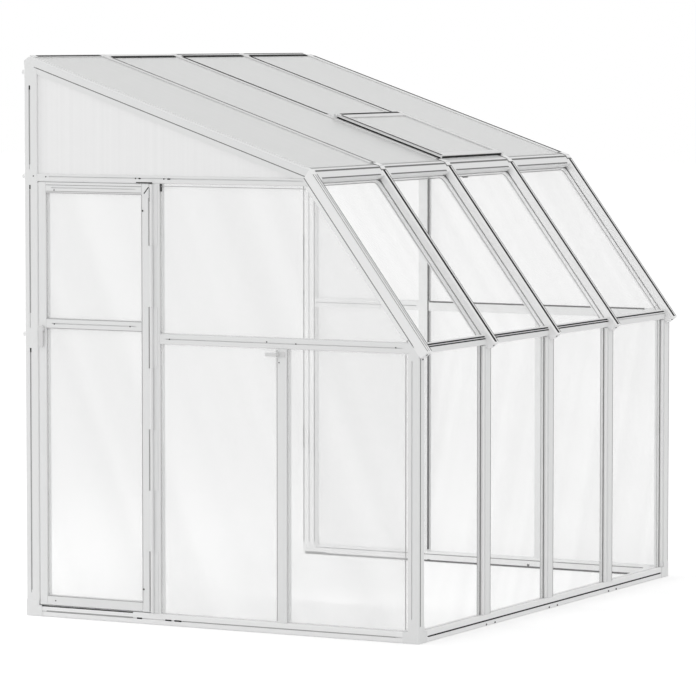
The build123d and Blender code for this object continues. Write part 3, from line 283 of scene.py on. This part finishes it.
class Build:
    """Vertices and faces that become one piece."""

    def __init__(self):
        self.points, self.faces = [], []

    def slab(self, face, across, along, depth=LINE):
        """Block on a face: its start and end along u, v and w."""
        (u0, u1), (v0, v1) = across, along
        self.plate(face, [(u0, v0), (u1, v0), (u1, v1), (u0, v1)], depth)

    def plate(self, face, outline, depth=LINE):
        """Flat plate over an outline on a face."""
        first = len(self.points)
        count = len(outline)
        for w in depth:
            self.points += [face.at(u, v, w) for u, v in outline]
        self.faces.append([first + i for i in range(count)][::-1])
        self.faces.append([first + count + i for i in range(count)])
        for i in range(count):
            j = (i + 1) % count
            self.faces.append([first + i, first + j, first + count + j, first + count + i])

    def ring(self, face, outer, inner, depth):
        """Frame between two loops of as many points."""
        first = len(self.points)
        count = len(outer)
        for w in depth:
            self.points += [face.at(u, v, w) for u, v in outer]
            self.points += [face.at(u, v, w) for u, v in inner]
        low_out, low_in, high_out, high_in = (first + count * k for k in range(4))
        for i in range(count):
            j = (i + 1) % count
            self.faces.append([low_out + i, low_in + i, low_in + j, low_out + j])
            self.faces.append([high_out + i, high_out + j, high_in + j, high_in + i])
            self.faces.append([low_out + i, low_out + j, high_out + j, high_out + i])
            self.faces.append([low_in + i, high_in + i, high_in + j, low_in + j])

    def piece(self, name, material, body="frame", slot="white_resin", bevel=0.0):
        """Makes the object, gives it its material and, if asked, a bevel, and rides it on a body."""
        mesh = bpy.data.meshes.new(name)
        mesh.from_pydata([tuple(p) for p in self.points], [], self.faces)
        mesh.validate()
        work = bpy.data.objects.new(name, mesh)
        bpy.context.scene.collection.objects.link(work)
        mesh.materials.append(material)
        if bevel:
            soft = work.modifiers.new("edges", "BEVEL")
            soft.width = bevel
            soft.segments = BEVEL_STEPS
        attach(work, body)
        return work


def around(middle, half):
    """Start and end about a middle."""
    return middle - half, middle + half


def moved(ends, by):
    """Start and end, moved along."""
    return ends[0] + by, ends[1] + by


def narrowed(ends, by):
    """Start and end, each drawn in."""
    return ends[0] + by, ends[1] - by


def house_x(start, end):
    """Start and end along the wall, given in the house frame."""
    return moved((start, end), SHIFT_X)


def house_y(start, end):
    """Start and end out from the wall, given in the house frame."""
    return moved((start, end), SHIFT_Y)


# Twin-wall sheets: two skins and the ribs between them
SHEET, SKIN, RIB, RIB_PITCH = 0.006, 0.0006, 0.0005, 0.010
BITE, EAVE_BITE = 0.009, 0.005
PLATE_LIP, EAVE_LIP = 0.021, 0.012
SHEET_SET, GABLE_SET = 0.004, 0.008

# The vent: its place down the roof, its bars and how high it stands over the roof's face
VENT_BAY = 2
VENT_TO_EAVE, VENT_REACH, TRIMMER_LEAD = 0.035, 0.563, 0.030
VENT_BOTTOM = ROOF_LEN - VENT_TO_EAVE
VENT_AXIS = VENT_BOTTOM - VENT_REACH
TRIMMER_START = VENT_AXIS - TRIMMER_LEAD
VENT_LAP, VENT_RAIL, VENT_TOP_RAIL = 0.020, 0.035, 0.045
VENT_LIFT, VENT_THICK = 0.004, 0.014
VENT_FACE = VENT_LIFT + VENT_THICK
VENT_LEFT = BAY_SIDES[VENT_BAY][0] - VENT_LAP
VENT_RIGHT = BAY_SIDES[VENT_BAY][1] + VENT_LAP


def fluted(build, face, across, along, top):
    """Twin-wall sheet whose ribs run along v."""
    build.slab(face, across, along, (top - SKIN, top))
    build.slab(face, across, along, (top - SHEET, top - SHEET + SKIN))
    start, end = across
    count = round((end - start) / RIB_PITCH)
    for i in range(count + 1):
        u = start + RIB / 2 + (end - start - RIB) * i / count
        build.slab(face, around(u, RIB / 2), along, (top - SHEET + SKIN, top - SKIN))


def roof_twin_wall():
    """Roof sheets, from the wall plate to the eave, or to the trimmer above the vent."""
    build = Build()
    for bay, (left, right) in enumerate(BAY_SIDES):
        end = TRIMMER_START + BITE if bay == VENT_BAY else ROOF_LEN - EAVE_LIP + EAVE_BITE
        fluted(build, ROOF, (left - BITE, right + BITE), (PLATE_LIP - BITE, end), -SHEET_SET)
    work = build.piece("roof_twinwall", ROOF_SKIN, slot="twin_wall_sheet")
    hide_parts("roof_sheets")


def vent_twin_wall():
    """The vent's sheet, halfway up its bars."""
    build = Build()
    across = VENT_LEFT + VENT_RAIL - BITE, VENT_RIGHT - VENT_RAIL + BITE
    along = VENT_AXIS + VENT_TOP_RAIL - BITE, VENT_BOTTOM - VENT_RAIL + BITE
    fluted(build, ROOF, across, along, VENT_LIFT + VENT_THICK / 2 + SHEET / 2)
    work = build.piece("vent_twinwall", ROOF_SKIN, "vent", "twin_wall_sheet")
    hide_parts("vent_sheet")


def gable_twin_wall(name, node, face):
    """Gable sheet with upright ribs, cut to the roof's pitch."""
    (_, y0, z0), (_, y1, z1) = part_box(node)
    top = -GABLE_SET
    build = Build()

    def high(y):
        return z1 - (y1 - y) * ROOF_S / ROOF_C

    outline = [(y0, z0), (y1, z0), (y1, z1), (y0, high(y0))]
    build.plate(face, outline, (top - SKIN, top))
    build.plate(face, outline, (top - SHEET, top - SHEET + SKIN))
    count = round((y1 - y0) / RIB_PITCH)
    for i in range(count):
        a = y0 + (y1 - y0 - RIB) * i / count
        rib = [(a, z0), (a + RIB, z0), (a + RIB, high(a + RIB)), (a, high(a))]
        build.plate(face, rib, (top - SHEET + SKIN, top - SKIN))
    work = build.piece(name, GABLE_SKIN, slot="twin_wall_sheet")
    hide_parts(node)


roof_twin_wall()
vent_twin_wall()
gable_twin_wall("gable_twinwall_door_side", "gable_sheet_door_side", GABLE)
gable_twin_wall("gable_twinwall_far_side", "gable_sheet_far_side", FAR_GABLE)


# Painted shade and light: dark strips in slots and gaps, thin lines along edges, white strips

# How far the mitre at the eave shifts for each metre under the faces: about the tangent of half the bend
MITRE_SHIFT = 0.3115
ARC_STEPS = 6


def roof_point(v, out):
    """Point (y, z) down the roof and out of it."""
    return Y_WALL - ROOF_C * v - ROOF_S * out, WALL_TOP - ROOF_S * v + ROOF_C * out


def slope_point(v, out):
    """Point (y, z) down the slope and out of it."""
    return Y_EAVE - SLOPE_C * v - SLOPE_S * out, EAVE_HEIGHT - SLOPE_S * v + SLOPE_C * out


def rounded(across, along, radius):
    """Loop of a rectangle with round corners."""
    (u0, u1), (v0, v1) = across, along
    loop = []
    for u, v, start in ((u1, v0, -90), (u1, v1, 0), (u0, v1, 90), (u0, v0, 180)):
        mid_u = u - radius if u == u1 else u + radius
        mid_v = v - radius if v == v1 else v + radius
        for step in range(ARC_STEPS + 1):
            angle = radians(start + 90 / ARC_STEPS * step)
            loop.append((mid_u + radius * cos(angle), mid_v + radius * sin(angle)))
    return loop


def hollow_corner(side, top, radius, turn):
    """Outline that fills a corner up to an arc, to the right of its side where turn is 1, or to the left."""
    outline = [(side, top)]
    for step in range(ARC_STEPS + 1):
        angle = radians(90 / ARC_STEPS * step)
        outline.append((side + turn * radius * (1 - sin(angle)), top + radius * (1 - cos(angle))))
    return outline if turn > 0 else outline[::-1]


def slope_shadow_lines():
    """Painted shadow as a black strip along each inner slope rafter, a white filler in the lighter resin
    beside it as painted light, and grey lines of painted shade at the edges.
    """
    below_cap, above_nose = 0.022, 0.006
    along = below_cap, SLOPE_LEN - above_nose
    shadow_strip_half = 0.009
    filler_sides, filler_depth = (0.0034, 0.0126), (DEEP, 0.0001)
    edge_sides = 0.0190, 0.0238
    first_edges = (-0.0170, -0.0120), (0.0185, 0.0238)
    first_faint = 0.0010, 0.0050
    shadow_strip, filler, edge, faint = Build(), Build(), Build(), Build()
    for x in RAFTER_X[1:]:
        shadow_strip.slab(SLOPE, around(x, shadow_strip_half), along)
        filler.slab(SLOPE, moved(filler_sides, x), along, filler_depth)
        edge.slab(SLOPE, moved(edge_sides, x), along)
    for sides in first_edges:
        edge.slab(SLOPE, moved(sides, RAFTER_X[0]), along)
    faint.slab(SLOPE, moved(first_faint, RAFTER_X[0]), along)
    shadow_strip.piece("slope_shadow_lines", BLACK)
    filler.piece("slope_fillers", BRIGHT)
    edge.piece("slope_edge_lines", SHADE)
    faint.piece("slope_faint_lines", PALE)


def slope_pane_shade():
    """Painted shade on each slope pane: a thin pale rim, dark fillets in its upper corners and a short mark
    by the stay.
    """
    depth = -0.0325, -0.0305
    inset, top, bottom = 0.043, 0.060, SLOPE_LEN - 0.050
    rim_width, rim_radius = 0.0035, 0.030
    fillet_top, fillet_radius, fillet_gap = 0.0485, 0.036, 0.0005
    stay_mark = house_x(0.130, 0.182), (0.0640, 0.0695)
    rim, fillet = Build(), Build()
    for left, right in BAY_SIDES:
        across, along = narrowed((left, right), inset), (top, bottom)
        outer = rounded(across, along, rim_radius)
        inner = rounded(narrowed(across, rim_width), narrowed(along, rim_width), rim_radius - rim_width)
        rim.ring(SLOPE, outer, inner, depth)
        fillet.plate(SLOPE, hollow_corner(right - fillet_gap, fillet_top, fillet_radius, -1), depth)
        fillet.plate(SLOPE, hollow_corner(left + fillet_gap, fillet_top, fillet_radius, 1), depth)
    fillet.slab(SLOPE, *stay_mark, depth)
    rim.piece("slope_pane_rim_shade", PALE)
    fillet.piece("slope_pane_corner_shade", SHADE)


def roof_shadow_lines():
    """Painted shadow along the roof rafters: grey on the second, black on the rest, cut short beside the
    vent.
    """
    start, before_eave, before_vent = 0.045, 0.040, 0.050
    full = start, ROOF_LEN - before_eave
    short = start, VENT_AXIS - before_vent
    grey_painted_shade, black_painted_shadow = Build(), Build()
    _, second, third, fourth, last = RAFTER_X
    for build, rafter, sides, along in (
        (grey_painted_shade, second, (0.005, 0.019), full),
        (black_painted_shadow, third, (0.0, 0.022), short),
        (black_painted_shadow, fourth, (0.0, 0.003), full),
        (black_painted_shadow, fourth, (0.0, 0.020), short),
        (black_painted_shadow, last, (0.003, 0.023), full),
    ):
        build.slab(ROOF, moved(sides, rafter), along, (DEEP, OVER))
    grey_painted_shade.piece("roof_shadow_grey", SHADE)
    black_painted_shadow.piece("roof_shadow_lines", BLACK)


def plate_shadows():
    """Black painted shadow on the first wall plate and below the others' lips, and lines behind the last two.
    """
    first_start, start, end = 0.040, 0.020, 0.013
    on_plate, below_lip = (0.006, 0.020), (PLATE_LIP, PLATE_LIP + 0.017)
    back_start, back_end, back_line = 0.010, 0.005, (0.003, 0.011)
    shadow_strip = Build()
    for bay, (left, right) in enumerate(BAY_SIDES):
        if bay == 0:
            shadow_strip.slab(ROOF, (left + first_start, right - end), on_plate)
        else:
            shadow_strip.slab(ROOF, (left + start, right - end), below_lip, (-SHEET_SET, FLUSH))
        if bay > 1:
            shadow_strip.slab(ROOF, (left - back_start, right - back_end), back_line, (SINK, 0.0))
    shadow_strip.piece("plate_shadows", BLACK)


def gable_lines():
    """Painted shade in the grooves of the gable rafters and in the slots of the near wall post, with dark
    painted shadow at the slots' ends.
    """
    groove_half = 0.0025
    roof_groove, roof_start = -0.033, 0.075
    slope_groove, slope_end = -0.040, 0.875
    slot_middle, slot_half, end_half, end_length = 0.9415 + SHIFT_Y, 0.002, 0.003, 0.018
    slots = (1.985, 2.329), (1.335, 1.895), (0.115, 1.180)
    shadow_strip, slot, ends = Build(), Build(), Build()
    for face in (GABLE, FAR_GABLE):
        for point, out, start, end in (
            (roof_point, roof_groove, roof_start, ROOF_LEN + roof_groove * MITRE_SHIFT),
            (slope_point, slope_groove, -slope_groove * MITRE_SHIFT, slope_end),
        ):
            low, high = around(out, groove_half)
            corners = [point(start, low), point(start, high), point(end, high), point(end, low)]
            shadow_strip.plate(face, corners, (DEEP, FLUSH))
    for low, high in slots:
        slot.slab(GABLE, around(slot_middle, slot_half), (low, high))
        ends.slab(GABLE, around(slot_middle, end_half), (high - end_length, high), (0.0, 2 * OVER))
    shadow_strip.piece("gable_groove_shade", SHADE)
    slot.piece("wall_post_slot_shade", PALE)
    ends.piece("wall_post_slot_end_shadows", BLACK)


def door_gap_shadows():
    """Black painted shadow in the open slots round the door, the drains in the sill and marks on the eave
    tie, and the sill's thin line in painted shade.
    """
    head_slot = house_y(0.322, 0.402), (1.9122, 1.9165)
    barrel_slot, barrel_depth = (house_y(0.3235, 0.3285), (1.834, 1.892)), (0.002, 0.0125)
    jamb_slot, jamb_depth = (house_y(0.277, 0.2805), (1.878, 1.910)), (-0.007, OVER)
    foot_slot = house_y(0.425, 0.900), (0.0442, 0.0488)
    drains, drain_heights = ((0.3795, 0.4047), (0.232, 0.262), (0.182, 0.217)), (0.0200, 0.0262)
    tie_marks = (0.379, 0.389), (0.402, 0.407), (0.260, 0.266), (0.231, 0.245)
    tie_mark_heights = 1.9290, 1.9345
    door_line = house_y(0.425, 0.867), (0.0225, 0.0275)
    rail_line = house_y(-0.860, 0.175), (0.0210, 0.0255)
    dark, sill = Build(), Build()
    dark.slab(GABLE, *head_slot, MARK)
    dark.slab(GABLE, *barrel_slot, barrel_depth)
    dark.slab(GABLE, *jamb_slot, jamb_depth)
    dark.slab(GABLE, *foot_slot, MARK)
    for sides in drains:
        dark.slab(GABLE, house_y(*sides), drain_heights, MARK)
    for sides in tie_marks:
        dark.slab(GABLE, house_y(*sides), tie_mark_heights, MARK)
    for sides, heights in (door_line, rail_line):
        sill.slab(GABLE, sides, heights, MARK)
    dark.piece("door_gap_shadows", BLACK)
    sill.piece("sill_shade_line", PALE)


def inside(edge):
    """Sides of a thin line just inside a bar's edge."""
    return moved((-0.0032, -0.0002), edge)


def upright_lines():
    """Thin lines of painted shade on the gable's mullion, corner post, pane edge and eave tie."""
    heights = 0.055, 1.215
    pane_line, pane_depth = (0.0140, 0.0170), (-GABLE_SET - 0.001, -GABLE_SET + 0.0006)
    corner_line = 0.0120, 0.0180
    tie_line = house_y(-0.430, 0.280), (1.8993, 1.9018)
    _, mullion_edge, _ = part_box("lower_mullion_door_side")[1]
    _, post_edge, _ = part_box("corner_post_door_side")[1]
    faint, line = Build(), Build()
    faint.slab(GABLE, inside(mullion_edge), heights)
    faint.slab(GABLE, moved(pane_line, post_edge), heights, pane_depth)
    faint.slab(GABLE, *tie_line)
    line.slab(FRONT, moved(corner_line, X_GABLE), heights)
    faint.piece("upright_faint_lines", PALE)
    line.piece("corner_post_line", SHADE)


def door_lines():
    """White fills in the gaps round the door as painted light over their shade, thin lines of painted shade
    on its bars and a dark mitre by the hinge in painted shadow.
    """
    strip_depth = -0.006, -0.003
    latch_strip, latch_heights = (0.0018, 0.0041), (0.056, 1.905)
    head_strip, head_inset = (0.0014, 0.0031), 0.002
    barrel_line, barrel_foot, barrel_head = (0.0008, 0.0043), 0.004, 0.060
    pane_foot, pane_head = 0.040, 0.048
    mitre_gap, mitre_drop, mitre_reach, mitre_width = 0.0005, 0.0150, 0.0430, 0.0030
    rail_lines, rail_line_width, rail_inset = (0.0922, 1.2702, 1.3112, 1.8614, 1.8680, 1.8955), 0.0026, 0.001
    _, latch_edge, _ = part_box("door_stile_latch")[1]
    (_, hinge_edge, foot), (_, pane_edge, head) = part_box("door_stile_hinge")
    (_, rail_start, _), (_, rail_end, _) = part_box("door_rails")
    strip, line, mitre = Build(), Build(), Build()
    strip.slab(GABLE, moved(latch_strip, latch_edge), latch_heights, strip_depth)
    head_sides = narrowed((hinge_edge, latch_edge), head_inset)
    strip.slab(GABLE, head_sides, moved(head_strip, head), strip_depth)
    line.slab(GABLE, moved(barrel_line, hinge_edge), (foot + barrel_foot, head - barrel_head))
    line.slab(GABLE, inside(pane_edge), (foot + pane_foot, head - pane_head))
    for z in rail_lines:
        line.slab(GABLE, narrowed((rail_start, rail_end), rail_inset), (z, z + rail_line_width))
    mitre_start = hinge_edge + mitre_gap, head - mitre_drop
    mitre_end = pane_edge - mitre_drop, head - mitre_reach
    corners = [mitre_start, moved(mitre_start, mitre_width), moved(mitre_end, mitre_width), mitre_end]
    mitre.plate(GABLE, corners)
    strip.piece("door_gap_fills", RESIN)
    line.piece("door_stile_lines", PALE, "door")
    mitre.piece("door_mitre_shadow", BLACK, "door")


def hole_shadows():
    """Small black dots of painted shade in holes in the rails, posts and door, at places in the house frame.
    """
    half = 0.0024
    mid_rail = (-0.2421, 1.2472), (-0.3827, 1.2434), (-0.8599, 1.2442), (-0.3017, 1.1611), (0.2378, 1.2425)
    eave_and_foot = (0.8599, 1.9323), (0.9237, 1.9343), (0.9560, 0.0060)
    corner = (-1.2370, 1.2110), (-1.2540, 1.1960), (1.2543, 0.0060)
    door = (0.8196, 1.2899), (0.4346, 1.2905), (0.8177, 1.8750), (0.8196, 0.0731)
    fixed, leaf = Build(), Build()
    for y, z in mid_rail + eave_and_foot:
        fixed.slab(GABLE, around(y + SHIFT_Y, half), around(z, half), RAISED)
    for x, z in corner:
        fixed.slab(FRONT, around(x + SHIFT_X, 2 * half), around(z, half), RAISED)
    for y, z in door:
        leaf.slab(GABLE, around(y + SHIFT_Y, half), around(z, half), RAISED)
    fixed.piece("frame_hole_shadows", BLACK)
    leaf.piece("door_hole_shadows", BLACK, "door")


def front_beads():
    """White glazing bead beside each front post in the lighter resin as painted light, a grey line of painted
    shade along it, and painted shade at the posts' far edges.
    """
    heights = BASE_HEIGHT + 0.001, BELT_BOTTOM - 0.004
    pane = -0.018
    bead_sides, bead_top = (-0.0170, 0.0002), -0.006
    line_sides, line_top = (-0.0212, -0.0170), -0.0155
    faint_sides, faint_top = (-0.0480, -0.0445), -0.0172
    edge_sides = -0.0034, -0.0002
    bead, line, faint = Build(), Build(), Build()
    for _, right in BAY_SIDES:
        bead.slab(FRONT, moved(bead_sides, right), heights, (pane, bead_top))
        line.slab(FRONT, moved(line_sides, right), heights, (pane, line_top))
        faint.slab(FRONT, moved(faint_sides, right), heights, (pane, faint_top))
        line.slab(FRONT, moved(edge_sides, right + BAR_WIDTH), heights)
    bead.piece("front_beads", BRIGHT)
    line.piece("front_bead_shade_lines", SHADE)
    faint.piece("front_pane_lines", PALE)


def eave_lines():
    """Painted shade in slots along the eave beams: at the mitre, over the slope panes and, beside the vent,
    under the lip.
    """
    inset, pane_start, pane_end = 0.004, 0.020, 0.030
    mitre_slot, pane_slot = (0.0035, 0.0105), (0.0415, 0.0475)
    lip_line = ROOF_LEN - 0.024, ROOF_LEN - 0.012
    dark, pale = Build(), Build()
    for bay, (left, right) in enumerate(BAY_SIDES):
        dark.slab(SLOPE, narrowed((left, right), inset), mitre_slot)
        dark.slab(SLOPE, (left + pane_start, right - pane_end), pane_slot)
        if bay != VENT_BAY:
            pale.slab(ROOF, narrowed((left, right), inset), lip_line, (-SHEET_SET, FLUSH))
    dark.piece("eave_slot_shade", SHADE)
    pale.piece("eave_lip_lines", PALE)


def knee_lines():
    """Painted shadow in two drip slots along the knee rails, one in the last bay, and as a dark end on top of
    each pane's bead.
    """
    upper_start, upper_end, upper_heights = 0.016, 0.014, (1.2525, 1.2588)
    lower_start, lower_end, lower_heights = 0.020, 0.006, (1.2435, 1.2490)
    end_sides, last_end_sides = (-0.011, 0.0), (-0.013, -0.002)
    end_heights, end_depth = (1.196, 1.2175), (-0.0178, -0.0155)
    dark = Build()
    for bay, (left, right) in enumerate(BAY_SIDES):
        last = bay == BAYS - 1
        dark.slab(FRONT, (left + upper_start, right - upper_end), upper_heights)
        if not last:
            dark.slab(FRONT, (left + lower_start, right - lower_end), lower_heights)
        dark.slab(FRONT, moved(last_end_sides if last else end_sides, right), end_heights, end_depth)
    dark.piece("knee_slot_shadows", BLACK)


def base_lines():
    """Black painted shadow in the slot along the front of the base."""
    heights = 0.0200, 0.0262
    dark = Build()
    dark.slab(FRONT, house_x(-1.200, 1.205), heights, (DEEP, OVER))
    dark.piece("base_slot_shadow", BLACK)


def far_lines():
    """Painted shade in slots, thin lines and dashes on the inner side of the far gable's posts and rails."""
    inner = -BAR_DEPTH
    on_face = inner - OVER, inner + 0.001
    on_lines = inner - 2 * OVER, inner + 0.001
    heights = 0.060, 1.905
    jamb, jamb_depth = house_y(0.2785, 0.2855), (inner - OVER, inner + 0.010)
    slots = (
        (house_y(-0.860, 0.275), (1.2595, 1.2665)),
        (house_y(-0.860, 0.840), (0.0010, 0.0090)),
        (house_y(0.840, 0.957), (0.0010, 0.0130)),
    )
    post_lines = (0.9625, 0.9685), (0.9345, 0.9385), (0.9045, 0.9095)
    rail_lines = (
        (house_y(0.345, 0.900), (1.2405, 1.2435)),
        (house_y(-0.860, 0.900), (0.0345, 0.0385)),
    )
    post_dash = house_y(0.9620, 0.9690)
    dashes = (
        (post_dash, (1.450, 1.570)),
        (post_dash, (1.205, 1.215)),
        (post_dash, (1.275, 1.300)),
        (post_dash, (0.522, 0.635)),
        (house_y(0.9345, 0.9390), (0.499, 0.612)),
        (house_y(0.9045, 0.9090), (0.431, 0.894)),
        (house_y(-0.265, -0.253), (0.0085, 0.0190)),
        (house_y(0.270, 0.284), (0.0020, 0.0120)),
    )
    dark, soft = Build(), Build()
    dark.slab(FAR_GABLE, jamb, heights, jamb_depth)
    for sides, ends in slots:
        dark.slab(FAR_GABLE, sides, ends, on_face)
    for sides in post_lines:
        soft.slab(FAR_GABLE, house_y(*sides), heights, on_face)
    for sides, ends in rail_lines:
        soft.slab(FAR_GABLE, sides, ends, on_face)
    for sides, ends in dashes:
        dark.slab(FAR_GABLE, sides, ends, on_lines)
    dark.piece("far_slot_shadows", BLACK)
    soft.piece("far_lines", SHADE)


def vent_lines():
    """Black painted shadow in the vent's hinge slot, along its near edge and in the open gaps at its foot and
    side, and its white side in the lighter resin as painted light.
    """
    on_top = VENT_FACE - 0.001, VENT_FACE + OVER
    hinge_slot = (VENT_LEFT + 0.030, VENT_RIGHT - 0.025), (VENT_AXIS - 0.004, VENT_AXIS + 0.012)
    foot_gap = (VENT_LEFT + 0.010, VENT_RIGHT - 0.012), (VENT_BOTTOM, VENT_BOTTOM + OVER)
    foot_depth = VENT_LIFT, VENT_LIFT + 0.010
    near_edge = (VENT_LEFT + 0.002, VENT_LEFT + 0.022), (VENT_AXIS + 0.020, VENT_BOTTOM - 0.006)
    side_length = VENT_AXIS, VENT_BOTTOM - 0.003
    gap_sides, gap_depth = (-0.0012, 0.001), (0.0025, 0.0085)
    side_sides, side_depth = (-0.0010, 0.0005), (0.0086, VENT_FACE - 0.0060)
    dark, side = Build(), Build()
    dark.slab(ROOF, *hinge_slot, on_top)
    dark.slab(ROOF, *foot_gap, foot_depth)
    dark.slab(ROOF, *near_edge, on_top)
    dark.slab(ROOF, moved(gap_sides, VENT_LEFT), side_length, gap_depth)
    side.slab(ROOF, moved(side_sides, VENT_LEFT), side_length, side_depth)
    dark.piece("vent_slot_shadows", BLACK, "vent")
    side.piece("vent_side_light", BRIGHT, "vent")


def elbow_caps():
    """Small moulded caps over the eave mitres of the inner rafters, in the lighter resin as painted light,
    each on a grey plate of painted shadow.
    """
    mitre_gap = 0.001
    cap_half, cap_up, cap_down, cap_depth, cap_bevel = 0.019, 0.034, 0.018, (SINK, 0.003), 0.0012
    cap_shadow_half, cap_shadow_up, cap_shadow_down = 0.0235, 0.045, 0.023
    caps, cap_shadows = Build(), Build()
    for x in RAFTER_X[1:]:
        cap_shadows.slab(ROOF, around(x, cap_shadow_half), (ROOF_LEN - cap_shadow_up, ROOF_LEN - mitre_gap))
        cap_shadows.slab(SLOPE, around(x, cap_shadow_half), (mitre_gap, cap_shadow_down))
        caps.slab(ROOF, around(x, cap_half), (ROOF_LEN - cap_up, ROOF_LEN - mitre_gap), cap_depth)
        caps.slab(SLOPE, around(x, cap_half), (mitre_gap, cap_down), cap_depth)
    caps.piece("elbow_caps", BRIGHT, bevel=cap_bevel)
    cap_shadows.piece("elbow_cap_shadows", SHADE)


slope_shadow_lines()
slope_pane_shade()
roof_shadow_lines()
plate_shadows()
gable_lines()
door_gap_shadows()
upright_lines()
door_lines()
hole_shadows()
front_beads()
eave_lines()
knee_lines()
base_lines()
far_lines()
vent_lines()
elbow_caps()


# Camera, fitted to the lines of the photograph: degrees round and up, place, lens and sensor in millimetres
CAMERA_ROUND, CAMERA_UP = -61.9329, 4.2094
CAMERA_PLACE = (-17.1528, -9.0885, 2.5594)
LENS, SENSOR, VIEW_END = 221.75, 36.0, 100.0


def aim_camera():
    """Camera at the place the photograph was taken from."""
    a, e = radians(CAMERA_ROUND), radians(CAMERA_UP)
    right = Vector((cos(a), sin(a), 0))
    back = Vector((sin(a) * cos(e), -cos(a) * cos(e), sin(e)))
    up = back.cross(right)
    data = bpy.data.cameras.new("camera")
    data.lens = LENS
    data.sensor_width = SENSOR
    data.clip_end = VIEW_END
    camera = bpy.data.objects.new("camera", data)
    turn = Matrix((right, up, back)).transposed().to_4x4()
    camera.matrix_world = Matrix.Translation(CAMERA_PLACE) @ turn
    bpy.context.scene.collection.objects.link(camera)
    bpy.context.scene.camera = camera


aim_camera()


# Stage: white floor that keeps the shadow, white surroundings, soft lamps
SKY_LIGHT, SKY_SEEN = 0.92, 1.0
FLOOR_REACH, FLOOR_DROP = 60.0, 0.0005
FLOOR_TONE, FLOOR_ROUGHNESS, FLOOR_GLOW = 0.82, 0.9, 0.285
LAMPS = (
    {"name": "key", "place": (-9.5, 0.5, 3.5), "aim": (-1.2, 0, 1.2), "size": 4.0, "power": 12.0},
    {"name": "wall_side_fill", "place": (-1.2, 4.5, 2.4), "aim": (1.2, 0, 1.2), "size": 2.5, "power": 90.0},
    {"name": "room_fill", "place": (-0.6, 0.1, 0.25), "aim": (0.6, -0.1, 1.75), "size": 0.6, "power": 5.0},
)


def looking(tree):
    """1 for the rays that look, 0 for those that light."""
    path = tree.nodes.new("ShaderNodeLightPath")
    total = path.outputs["Is Camera Ray"]
    for name in ("Is Glossy Ray", "Is Transmission Ray"):
        node = tree.nodes.new("ShaderNodeMath")
        node.operation = "MAXIMUM"
        tree.links.new(total, node.inputs[0])
        tree.links.new(path.outputs[name], node.inputs[1])
        total = node.outputs[0]
    return total


def by_ray(tree, lighting, seen):
    """One number for the rays that light and another for those that look."""
    node = tree.nodes.new("ShaderNodeMapRange")
    node.inputs["To Min"].default_value = lighting
    node.inputs["To Max"].default_value = seen
    tree.links.new(looking(tree), node.inputs["Value"])
    return node.outputs["Result"]


def set_sky():
    """White surroundings."""
    world = bpy.data.worlds.new("studio")
    bpy.context.scene.world = world
    world.use_nodes = True
    tree = world.node_tree
    sky = tree.nodes["Background"]
    sky.inputs["Color"].default_value = (1, 1, 1, 1)
    tree.links.new(by_ray(tree, SKY_LIGHT, SKY_SEEN), sky.inputs["Strength"])


def lay_floor():
    """Wide plain floor, just under the base."""
    mesh = bpy.data.meshes.new("floor")
    corners = [(x * FLOOR_REACH, y * FLOOR_REACH, 0) for x, y in ((-1, -1), (1, -1), (1, 1), (-1, 1))]
    mesh.from_pydata(corners, [], [(0, 1, 2, 3)])
    floor = bpy.data.objects.new("floor", mesh)
    floor.location.z = -FLOOR_DROP
    bpy.context.scene.collection.objects.link(floor)
    material, tree, shader = new_material("floor")
    shader.inputs["Base Color"].default_value = (*grey(FLOOR_TONE), 1)
    shader.inputs["Roughness"].default_value = FLOOR_ROUGHNESS
    shader.inputs["Specular IOR Level"].default_value = 0.0
    shader.inputs["Emission Color"].default_value = (1, 1, 1, 1)
    tree.links.new(by_ray(tree, 0.0, FLOOR_GLOW), shader.inputs["Emission Strength"])
    mesh.materials.append(material)


def hang_lamp(name, place, aim, size, power):
    """Square soft lamp that isn't seen itself."""
    data = bpy.data.lights.new(name, "AREA")
    data.size = size
    data.energy = power
    lamp = bpy.data.objects.new(name, data)
    lamp.location = place
    lamp.rotation_euler = (Vector(aim) - Vector(place)).to_track_quat("-Z", "Y").to_euler()
    lamp.visible_camera = False
    lamp.visible_glossy = False
    bpy.context.scene.collection.objects.link(lamp)


set_sky()
lay_floor()
for lamp_values in LAMPS:
    hang_lamp(**lamp_values)
bpy.context.scene.view_settings.view_transform = "Standard"
